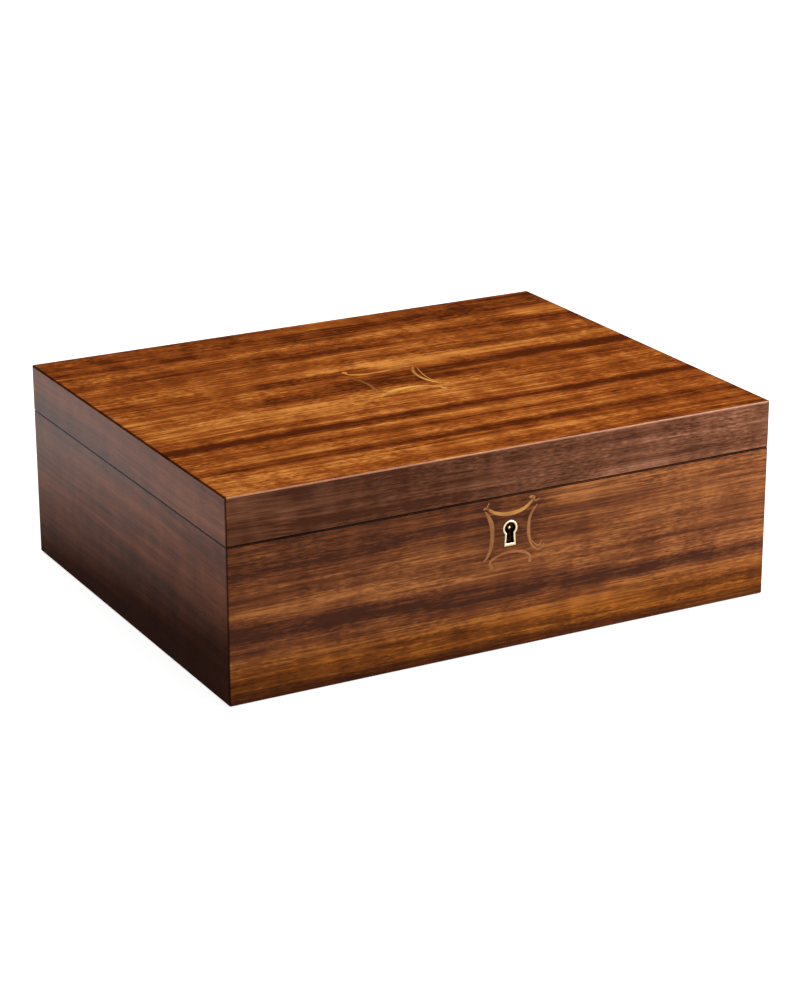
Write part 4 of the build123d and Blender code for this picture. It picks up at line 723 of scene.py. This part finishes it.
# Inlaid ornament: scrolled lines of pale satinwood let into the front round the keyhole and into
# the middle of the lid, each a thin strip cut in a long curve and ended in a hook or a ball.
inlay, tree, shader = material("satinwood_inlay", 0.0, Roughness=0.45)
here = surface(tree)
streak = ramp(tree, noise(tree, here, (90, 900, 900), 3.0, 0.6), 0.3, 0.7)
scorch = ramp(tree, noise(tree, here, (70, 70, 70), 2.0), 0.4, 0.62)
axes = node(tree, "SeparateXYZ", here).outputs
on_lid = ramp(tree, axes[2], 0.09, 0.1)
across = maths(tree, "ABSOLUTE", axes[0])
# painted highlight: the top strokes of the front ornament and the front strokes of the lid are painted
# brighter gold
front_glint = times(tree, ramp(tree, axes[2], 0.066, 0.071), ramp(tree, across, 0.0125, 0.0095))
front_glint = times(tree, front_glint, ramp(tree, axes[2], 0.1, 0.09))
lid_glint = times(tree, ramp(tree, axes[1], 0.0, -0.01), on_lid)
bright = maths(tree, "ADD", front_glint, lid_glint, clamp=True)
shade = mix(tree, streak, tint(144, 96, 60), tint(168, 116, 76))
shade = mix(tree, on_lid, shade, mix(tree, streak, tint(188, 122, 56), tint(220, 156, 78)))
glint_tint = mix(tree, streak, tint(176, 122, 64), tint(204, 148, 84))
glint_tint = mix(tree, on_lid, glint_tint, mix(tree, streak, tint(210, 146, 58), tint(246, 196, 100)))
shade = mix(tree, bright, shade, glint_tint)
left_stroke = apart(tree, axes[1], 0.003)
left_stroke = times(tree, ramp(tree, left_stroke, 0.0182, 0.0172), on_lid)
left_stroke = times(tree, left_stroke, ramp(tree, axes[0], -0.01, -0.012))
shade = mix(tree, times(tree, left_stroke, 0.75), shade, tint(122, 66, 26))
shade = mix(tree, times(tree, scorch, 0.6), shade, tint(134, 84, 50))
put(tree, shader["Base Color"], shade)
put(tree, shader["Normal"], raised(tree, streak, 0.00004))
dress(inlay, "front_inlay", "lid_inlay")
front_face, lid_face = -0.12, 0.105
# The strips are drawn in millimetres, and rise a hair above the veneer.
strip_rise, ball_rise, inlay_depth = 0.03, 0.035, 0.4


def smooth_line(points, steps=7):
    """A curve through the points, each a place and a half width, with steps between two points."""
    ends = [tuple(2 * a - b for a, b in zip(points[0], points[1]))]
    ends += list(points) + [tuple(2 * a - b for a, b in zip(points[-1], points[-2]))]
    line = []
    for index in range(len(points) - 1):
        spans = list(zip(*ends[index:index + 4]))
        for step in range(steps + (index == len(points) - 2)):
            f = step / steps
            line.append(
                tuple(
                    0.5 * (
                        2 * b + (c - a) * f + (2 * a - 5 * b + 4 * c - d) * f**2
                        + (3 * b - a - 3 * c + d) * f**3
                    )
                    for a, b, c, d in spans
                )
            )
    return line


def slab(shape, loop, rise, lay, ribbon):
    """A plate in a loop's outline, its face one polygon, or quads across a ribbon."""
    rims = []
    for level in (rise, rise - inlay_depth):
        rim = [shape.verts.new(lay(x / 1000, y / 1000, level / 1000)) for x, y in loop]
        if ribbon:
            for step in range(len(rim) // 2 - 1):
                shape.faces.new((rim[step], rim[step + 1], rim[-2 - step], rim[-1 - step]))
        else:
            shape.faces.new(rim)
        rims.append(rim)
    skin(shape, rims)


def scrolls(name, body, lines, rounds, lay):
    """One ornament of strips, each a list of places and half widths, and of round ends."""
    shape = bmesh.new()
    for points in lines:
        line = smooth_line(points)
        left, right = [], []
        for index, (x, y, half) in enumerate(line):
            a, b = line[max(index - 1, 0)], line[min(index + 1, len(line) - 1)]
            way = Vector((b[0] - a[0], b[1] - a[1])).normalized()
            side = Vector((-way.y, way.x)) * max(half, 0.12)
            left.append((x + side.x, y + side.y))
            right.append((x - side.x, y - side.y))
        slab(shape, left + right[::-1], strip_rise, lay, True)
    for x, y, radius in rounds:
        turns = [2 * math.pi * step / 16 for step in range(16)]
        loop = [(x + radius * math.cos(turn), y + radius * math.sin(turn)) for turn in turns]
        slab(shape, loop, ball_rise, lay, False)
    piece(name, shape, body, inlay, smooth=False)


def on_front(x, z, rise):
    """A place in the ornament on the front wall."""
    return (x, front_face - rise, z)


def on_top(x, y, rise):
    """A place in the ornament on the lid."""
    return (x, y, lid_face + rise)


front_lines = (
    ((-14.5, 76.0, 0.3), (-12.5, 75.0, 0.6), (-8.0, 72.2, 0.8), (-1.5, 70.8, 1.0), (6.0, 71.5, 0.9),
     (11.5, 74.6, 0.7), (13.6, 77.0, 0.5), (12.0, 77.9, 0.35), (10.6, 77.3, 0.3)),
    ((-14.2, 74.0, 0.3), (-12.3, 71.4, 0.6), (-10.2, 67.0, 0.8), (-9.9, 61.0, 0.9), (-10.6, 54.8, 0.8),
     (-12.6, 50.4, 0.6), (-15.0, 48.0, 0.35)),
    ((15.4, 73.0, 0.3), (13.0, 70.4, 0.5), (11.0, 66.5, 0.7), (10.6, 61.0, 0.8), (11.2, 55.6, 0.7),
     (13.0, 51.6, 0.5), (15.8, 49.4, 0.45), (18.4, 50.2, 0.4), (19.2, 52.0, 0.3)),
    ((-10.8, 44.8, 0.8), (-11.4, 46.6, 0.7), (-9.6, 48.8, 0.5), (-5.0, 50.2, 0.4), (2.0, 50.9, 0.45),
     (8.0, 49.5, 0.65), (11.4, 47.0, 0.6), (11.6, 45.0, 0.5)),
    ((12.6, 54.6, 0.25), (14.2, 52.6, 0.3), (16.4, 51.6, 0.3), (18.0, 53.2, 0.25)),
    ((12.8, 75.6, 0.3), (14.8, 75.2, 0.35), (16.6, 75.9, 0.3)),
    ((-12.4, 74.6, 0.3), (-12.9, 76.6, 0.35), (-11.8, 78.0, 0.3)),
)
front_rounds = ((-10.4, 44.4, 1.25), (11.3, 44.4, 0.9), (11.9, 77.2, 0.7), (-14.6, 75.4, 0.6))
scrolls("front_scrolls", "case", front_lines, front_rounds, on_front)

lid_lines = (
    ((-14.0, 27.0, 0.5), (-14.6, 24.6, 0.6), (-12.6, 21.6, 0.8), (-7.0, 19.6, 0.9), (1.0, 19.8, 0.9),
     (9.0, 20.8, 0.8), (15.8, 22.0, 0.8), (19.6, 24.6, 0.7), (19.8, 27.6, 0.6), (17.0, 28.8, 0.5)),
    ((-17.2, -19.4, 0.5), (-13.4, -16.0, 1.0), (-9.0, -13.4, 1.3), (-3.0, -12.0, 1.4), (4.0, -11.5, 1.2),
     (11.0, -12.9, 1.0), (16.6, -16.6, 0.9), (18.8, -20.6, 0.8)),
    ((23.0, 21.0, 0.4), (19.4, 13.6, 0.6), (17.2, 6.0, 0.7), (16.8, 0.2, 0.7), (18.0, -6.8, 0.6),
     (21.4, -12.6, 0.4)),
    ((23.6, 17.6, 0.25), (21.0, 8.0, 0.35), (19.9, 0.5, 0.35), (20.2, -6.4, 0.35), (22.4, -10.6, 0.25)),
    ((-18.0, 21.0, 0.3), (-14.6, 13.0, 0.45), (-12.8, 5.0, 0.5), (-12.8, -2.0, 0.5), (-14.4, -9.0, 0.45),
     (-17.6, -15.0, 0.3)),
)
lid_rounds = ((-14.4, 27.2, 1.5), (18.6, -21.2, 1.5), (17.0, 28.6, 0.9), (-17.0, -19.2, 0.8))
scrolls("lid_scrolls", "lid", lid_lines, lid_rounds, on_top)

# Metals: polished lacquered brass for everything that is seen and handled, and plain or blued
# steel for what works.
worn, given, result = group(
    "worn_metal",
    {
        "Vector": "Vector", "Bright": (0.8, 0.6, 0.25, 1), "Tarnish": (0.4, 0.25, 0.08, 1), "Age": 0.5,
        "Polish": 0.2, "Lines": 0.3,
    },
    {"Color": "Color", "Roughness": "Float", "Height": "Float"},
)
t = worn
cloud = out(t, "TexNoise", Vector=given["Vector"], Scale=90.0, Detail=4.0, Roughness=0.6)
speck = out(t, "TexNoise", Vector=given["Vector"], Scale=900.0, Detail=2.0)
scratch = noise(t, given["Vector"], (260, 3600, 3600), 2.0, 0.6)
age = times(t, ramp(t, cloud, 0.42, 0.68), given["Age"], clamp=True)
few = times(t, given["Age"], 0.3)
age = scaled(t, ramp(t, speck, 0.62, 0.72), few, age, clamp=True)
put(t, result["Color"], mix(t, age, given["Bright"], given["Tarnish"]))
rough = scaled(t, age, 0.2, given["Polish"])
put(t, result["Roughness"], scaled(t, scratch, 0.08, rough))
put(t, result["Height"], times(t, scratch, given["Lines"]))


def metal(name, bright, tarnish, age=0.4, polish=0.2, lines=0.3):
    """A metal finish."""
    made, tree, shader = material(name, 0.5, Metallic=1.0)
    look = use(
        tree, worn, Vector=surface(tree), Bright=tint(*bright), Tarnish=tint(*tarnish), Age=age,
        Polish=polish, Lines=lines,
    )
    finish(tree, shader, look, 0.00004)
    return made


brass = metal("lacquered_brass", (238, 208, 138), (176, 126, 60), age=0.35, polish=0.16)
dull_brass = metal("dull_brass", (206, 168, 98), (120, 82, 42), age=0.7, polish=0.3)
wheel_brass = metal("wheel_brass", (226, 186, 104), (150, 104, 52), age=0.4, polish=0.24)
steel = metal("bright_steel", (200, 202, 204), (120, 116, 112), age=0.3, polish=0.2)
comb_steel = metal("comb_steel", (178, 180, 184), (96, 94, 98), age=0.35, polish=0.24, lines=0.6)
spring_steel = metal("blued_steel", (74, 84, 116), (40, 40, 52), age=0.5, polish=0.28)
cast = metal("gilded_casting", (196, 176, 130), (122, 104, 74), age=0.6, polish=0.42, lines=0.8)

# Keyhole: a brass escutcheon let into the front, its inner edge rounded where the key rubs, and
# behind it the drill pin that the hollow key goes over.
escutcheon = metal("escutcheon_brass", (255, 240, 196), (214, 176, 110), age=0.25, polish=0.3)
tree = escutcheon.node_tree
bared = tree.nodes["Principled BSDF"].inputs["Base Color"]
face = node(tree, "SeparateXYZ", node(tree, "TexCoord").outputs["Normal"]).outputs[1]
# painted shade: the keyhole's inner walls, which face away from the front, are painted dark brown
painted_bore_shade = ramp(tree, face, -0.85, -0.5)
put(tree, bared, mix(tree, painted_bore_shade, bared.links[0].from_socket, tint(30, 18, 10)))
low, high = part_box("keyhole_escutcheon")
eye_radius = high.x
eye = high.z - eye_radius
tail = eye - low.z
neck = 0.0027
foot = 0.00335
wall, easing, rounding = 0.00112, 0.00015, 0.0004
foot_share = 1.3


def keyhole_ring(inset, arc=48):
    """The keyhole's outline drawn in by an inset, from its right foot round the eye to its left."""
    radius, narrow, drop = eye_radius - inset, neck - inset, tail - foot_share * inset
    slope = (foot - neck) / drop
    square = 1 + slope**2
    down = (narrow * slope) ** 2 - square * (narrow**2 - radius**2)
    down = (math.sqrt(down) - narrow * slope) / square
    start = math.atan2(-down, narrow + slope * down)
    ring = [(foot - inset, eye - drop)]
    for step in range(arc + 1):
        angle = start + (math.pi - 2 * start) * step / arc
        ring.append((radius * math.cos(angle), eye + radius * math.sin(angle)))
    return ring + [(inset - foot, eye - drop)]


section = [(0.0, high.y), (0.0, low.y + easing), (easing, low.y)]
for turn in range(0, 91, 15):
    angle = math.radians(turn)
    section.append((wall - rounding * (1 - math.sin(angle)), low.y + rounding * (1 - math.cos(angle))))
section.append((wall, high.y))
shape = bmesh.new()
rings = [[shape.verts.new((x, y, z)) for x, z in keyhole_ring(inset)] for inset, y in section]
skin(shape, rings + rings[:1])
piece("keyhole_rim", shape, "case", escutcheon, ["keyhole_escutcheon"])


def turned(profile, middle, axis, sides=24):
    """A form spun from (distance along, radius) pairs about an axis through the middle."""
    turn = Vector((0, 0, 1)).rotation_difference(Vector(axis)).to_matrix()
    shape = bmesh.new()
    rings = []
    for along, radius in profile:
        ring = []
        for step in range(sides if radius > 0 else 1):
            angle = 2 * math.pi * step / sides
            at = turn @ Vector((radius * math.cos(angle), radius * math.sin(angle), along))
            ring.append(shape.verts.new(at + Vector(middle)))
        rings.append(ring)
    skin(shape, rings)
    return shape


def domed(length, radius, dome, turns):
    """The profile of a rod's rounded end, as long as the dome, up to its tip."""
    angles = [math.radians(turn) for turn in turns]
    along = [(length - dome + dome * math.sin(angle), radius * math.cos(angle)) for angle in angles]
    return [(length - dome, radius)] + along + [(length, 0)]


low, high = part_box("drill_pin")
radius = (high.x - low.x) / 2
profile = [(0, 0), (0, radius * 0.8), (radius * 0.2, radius)]
profile += domed(high.y - low.y, radius, radius, (15, 30, 45, 60, 75))
shape = turned(profile, (0, high.y, (low.z + high.z) / 2), (0, -1, 0))
piece("keyhole_drill_pin", shape, "case", brass, ["drill_pin"])

# Lock: a brass box lock screwed into the front rim, its bolt worked by the key, and the strike
# plate with two staples in the lid.
dress(brass, "lock_plate", "strike_plate")
dress(dull_brass, "lock_case", "lock_bolt")

# Hinges: two pairs of solid brass leaves let into the rims of case and lid, each turning on a
# hard brass pin behind the back wall.
dress(brass, "hinge_leaves_case", "hinge_leaves_lid", "hinge_pins")

# Bays: thin boards of the same wood, grooved and glued to the walls, that part the movement from
# the room for jewels, over a sound board of spruce.
def inner_wood(name, shift, middle=(120, 66, 36), light=(164, 102, 56), **more):
    """Plain oiled boards of the inside."""
    return veneer(name, (66, 32, 18), middle, light, shift=shift, corners=False, **more)[0]


spruce = veneer(
    "spruce_board", (150, 112, 70), (196, 158, 110), (224, 192, 146), shift=(0.2, 0.5, 0.1), specular=0.2,
    stripes=0.3, streaks=0.7, fibres=0.3, pores=0.2, corners=False,
)[0]
dress(spruce, "sound_board", "tray_floor")
long_wood = inner_wood("inner_wood", (0.2, 0.7, 0.4), (116, 64, 34), (158, 98, 54))
dress(long_wood, "movement_partition", "glass_ledges")
dress(inner_wood("cross_wood", (0.1, 0.3, 0.2), (116, 64, 34), (158, 98, 54), turn=90), "bay_divider")

# Tray: a mitred frame of the same wood with a spruce floor, which lifts out of the main bay by
# its two shorter sides.
dress(inner_wood("tray_wood", (0.4, 0.2, 0.1), mitre=(0.03725, -0.00475)), "tray_frame")

# Mirror: silvered glass in the lid, held by a mitred frame of thin moulding, its grain running
# along each side.
dress(inner_wood("mirror_frame_wood", (0.7, 0.6, 0.2), mitre=(0.0, 0.03)), "mirror_frame")
mirror, tree, shader = material("silvered_glass", 0.5, Metallic=1.0)
haze = noise(tree, surface(tree), (40, 40, 40), 3.0, 0.6)
put(tree, shader["Base Color"], mix(tree, haze, tint(232, 236, 236), tint(240, 242, 242)))
put(tree, shader["Roughness"], ramp(tree, haze, 0.4, 0.8, 0.015, 0.05))
dress(mirror, "mirror_glass")

# Window: a pane of clear glass laid over the movement on two ledges, so that it is seen to play
# and kept free of dust.
pane, tree, shader = material("clear_glass", 0.5, Transmission_Weight=1.0, IOR=1.3)
smear = noise(tree, surface(tree), (60, 60, 60), 4.0, 0.65)
put(tree, shader["Base Color"], mix(tree, smear, tint(240, 248, 245), tint(248, 252, 250)))
put(tree, shader["Roughness"], ramp(tree, smear, 0.5, 0.8, 0.0, 0.02))
dress(pane, "movement_glass")

# Movement: a gilded cast bed on the sound board, with a going barrel, a train of brass wheels, a
# worm driven governor, and a steel comb plucked by the pins of the cylinder.
dress(cast, "movement_bedplate")
dress(comb_steel, "comb")
dress(wheel_brass, "pinned_cylinder", "cylinder_wheel", "intermediate_wheel", "worm_wheel")
dress(brass, "spring_barrel", "barrel_cap", "governor_frame")
dress(spring_steel, "mainspring")
dress(steel, "cylinder_arbor", "governor_worm", "winding_arbor", "stop_rod")
moulded, tree, shader = material("moulded_fan", 0.4, Roughness=0.35)
swirl = noise(tree, surface(tree), (300, 300, 300), 3.0)
put(tree, shader["Base Color"], mix(tree, swirl, tint(48, 20, 12), tint(84, 38, 22)))
dress(moulded, "governor_fan")


def grown(name, tree, places, **sizes):
    """Runs a geometry tree over loose points and keeps what it makes as a plain mesh."""
    cloud = bpy.data.meshes.new(name + "_places")
    cloud.from_pydata([tuple(place) for place in places], [], [])
    carrier = bpy.data.objects.new(name + "_carrier", cloud)
    bpy.context.scene.collection.objects.link(carrier)
    modifier = carrier.modifiers.new(name, "NODES")
    modifier.node_group = tree
    for socket in tree.interface.items_tree:
        label = socket.name.replace(" ", "_")
        if socket.in_out == "INPUT" and label in sizes:
            modifier[socket.identifier] = sizes[label]
    graph = bpy.context.evaluated_depsgraph_get()
    made = bpy.data.meshes.new_from_object(carrier.evaluated_get(graph), depsgraph=graph)
    made.name = name
    carrier.modifiers.clear()
    bpy.data.objects.remove(carrier)
    return made


# Cylinder pins: short steel wires driven into the brass drum, one ring of places for each tooth of
# the comb, with a pin wherever that tooth's note is played.
pinning, given, result = group(
    "cylinder_pins",
    {
        "Geometry": "Geometry", "Tracks": 18, "Beats": 64, "Track pitch": 0.00095, "Drum radius": 0.0065,
        "Pin radius": 0.00015, "Pin length": 0.0009, "Rests": 0.86, "Seed": 11, "Finish": "Material",
    },
    {"Geometry": "Geometry"},
    "GeometryNodeTree",
)
t = pinning
count = times(t, given["Tracks"], given["Beats"])
index = out(t, "GeometryNodeInputIndex")
beat = maths(t, "FLOOR", maths(t, "DIVIDE", maths(t, "ADD", index, 0.5), given["Tracks"]))
track = less(t, index, times(t, beat, given["Tracks"]))
angle = times(t, maths(t, "DIVIDE", beat, given["Beats"]), 2 * math.pi)
ring = out(
    t, "CombineXYZ", times(t, maths(t, "ADD", track, 0.5), given["Track pitch"]),
    times(t, maths(t, "COSINE", angle), given["Drum radius"]),
    times(t, maths(t, "SINE", angle), given["Drum radius"]),
)
spots = out(t, "GeometryNodePoints", count, ring)
lean = out(t, "CombineXYZ", less(t, angle, math.pi / 2), 0.0, 0.0)
vector = {"data_type": "FLOAT_VECTOR"}
spots = out(t, "GeometryNodeStoreNamedAttribute", settings=vector, Geometry=spots, Name="lean", Value=lean)
rest = node(
    t, "FunctionNodeRandomValue", settings={"data_type": "BOOLEAN"}, Probability=given["Rests"],
    Seed=given["Seed"],
).outputs[3]
played = out(t, "GeometryNodeDeleteGeometry", spots, rest, settings={"domain": "POINT"})
lean = out(t, "GeometryNodeInputNamedAttribute", "lean", settings=vector)
length = times(t, given["Pin length"], 2.0)
wire = out(t, "GeometryNodeMeshCylinder", 6, Radius=given["Pin radius"], Depth=length)
pins = out(t, "GeometryNodeInstanceOnPoints", played, Instance=wire, Rotation=lean)
home = node(t, "GeometryNodeSampleIndex", given["Geometry"], settings=vector)
put(t, home.inputs["Value"], out(t, "GeometryNodeInputPosition"))
pins = out(t, "GeometryNodeTransform", pins, home.outputs[0])
pins = out(t, "GeometryNodeRealizeInstances", pins)
put(t, result[0], out(t, "GeometryNodeSetMaterial", pins, Material=given["Finish"]))

low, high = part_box("pinned_cylinder")
tracks = 18
mesh = grown(
    "cylinder_pins", pinning, [(low.x, (low.y + high.y) / 2, (low.z + high.z) / 2)], Tracks=tracks,
    Track_pitch=(high.x - low.x) / tracks, Drum_radius=(high.y - low.y) / 2, Finish=steel,
)
piece("cylinder_pins", mesh, "cylinder", steel, smooth=False)

# Screws: slotted ones turned from rod, brass where they hold the hinges and the lock, steel in the
# base and the movement, each head with its slot at its own angle.
screwing, given, result = group(
    "slotted_screw",
    {
        "Geometry": "Geometry", "Head radius": 0.0021, "Neck radius": 0.0011, "Head depth": 0.0016,
        "Shank radius": 0.001, "Length": 0.008, "Slot width": 0.0005, "Slot depth": 0.0006,
        "Turned": 0.0, "Seed": 5, "Finish": "Material",
    },
    {"Geometry": "Geometry"},
    "GeometryNodeTree",
)
t = screwing
drop = times(t, given["Head depth"], -1.0)
head = out(
    t, "GeometryNodeMeshCone", 28, Radius_Top=given["Head radius"], Radius_Bottom=given["Neck radius"],
    Depth=given["Head depth"],
)
head = out(t, "GeometryNodeTransform", head, out(t, "CombineXYZ", 0.0, 0.0, drop))
size = out(
    t, "CombineXYZ", times(t, given["Head radius"], 3.0), given["Slot width"],
    times(t, given["Slot depth"], 2.0),
)
cutter = out(t, "GeometryNodeMeshCube", size)
head = out(t, "GeometryNodeMeshBoolean", head, cutter, settings={"operation": "DIFFERENCE"})
length = less(t, given["Length"], given["Head depth"])
shank = out(t, "GeometryNodeMeshCylinder", 14, Radius=given["Shank radius"], Depth=length)
drop = less(t, times(t, length, -0.5), given["Head depth"])
shank = out(t, "GeometryNodeTransform", shank, out(t, "CombineXYZ", 0.0, 0.0, drop))
whole = node(t, "GeometryNodeJoinGeometry", head)
put(t, whole.inputs[0], shank)
spin = node(t, "FunctionNodeRandomValue", None, None, 0.0, math.pi, Seed=given["Seed"]).outputs[1]
way = out(t, "CombineXYZ", given["Turned"], 0.0, spin)
whole = whole.outputs[0]
screws = out(t, "GeometryNodeInstanceOnPoints", given["Geometry"], Instance=whole, Rotation=way)
screws = out(t, "GeometryNodeRealizeInstances", screws)
put(t, result[0], out(t, "GeometryNodeSetMaterial", screws, Material=given["Finish"]))


def lumps(name):
    """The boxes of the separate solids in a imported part."""
    shape = bmesh.new()
    shape.from_mesh(nodes[name].data)
    bmesh.ops.remove_doubles(shape, verts=shape.verts, dist=1e-6)
    left, found = set(shape.verts), []
    while left:
        queue = [left.pop()]
        low, high = queue[0].co.copy(), queue[0].co.copy()
        while queue:
            at = queue.pop()
            low, high = Vector(map(min, low, at.co)), Vector(map(max, high, at.co))
            for edge in at.link_edges:
                other = edge.other_vert(at)
                if other in left:
                    left.discard(other)
                    queue.append(other)
        found.append((low, high))
    shape.free()
    return sorted(found, key=lambda box: tuple(box[0]))


# A screw is a little thinner than its hole.
head_fit, shank_fit = 0.965, 0.95


def screwed(name, body, look, down, head_depth, shank, straight=False):
    """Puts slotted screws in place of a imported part's plain ones, their heads up or down."""
    boxes = lumps(name)
    places = []
    for low, high in boxes:
        places.append(((low.x + high.x) / 2, (low.y + high.y) / 2, low.z if down else high.z))
    low, high = boxes[0]
    head = (high.y - low.y) / 2 * head_fit
    mesh = grown(
        "slotted_" + name, screwing, places, Head_radius=head, Neck_radius=head if straight else shank,
        Head_depth=head_depth, Shank_radius=shank * shank_fit, Length=high.z - low.z,
        Turned=math.pi if down else 0.0, Finish=look,
    )
    piece("slotted_" + name, mesh, body, look, [name], smooth=False)


screwed("case_screws", "case", brass, False, 0.0016, 0.0011)
screwed("lid_screws", "lid", brass, True, 0.0016, 0.0011)
screwed("base_screws", "case", steel, True, 0.0016, 0.0011)
screwed("bedplate_screws", "case", steel, True, 0.0014, 0.0012, straight=True)
screwed("machine_screws", "case", steel, False, 0.0009, 0.001, straight=True)

# Stop: a steel rod from the lid's edge to the governor, with a rubber buffer that stills the fan
# when the lid is down.
rubber, tree, shader = material("stop_rubber", 0.3, Roughness=0.8)
grit = noise(tree, surface(tree), (900, 900, 900), 3.0)
put(tree, shader["Base Color"], mix(tree, grit, tint(26, 24, 24), tint(52, 48, 46)))
low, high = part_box("stop_pad")
radius = (high.y - low.y) / 2
length = high.x - low.x
dome = 0.45 * length
profile = [(0, 0), (0, radius)] + domed(length, radius, dome, (18, 36, 54, 72))
shape = turned(profile, (low.x, (low.y + high.y) / 2, (low.z + high.z) / 2), (1, 0, 0))
piece("stop_buffer", shape, "stop", rubber, ["stop_pad"])

# Keys: the lock's hollow brass key, kept in the tray, and the steel winding key in its hole under
# the box.
dress(brass, "lock_key")
dress(steel, "winding_key")
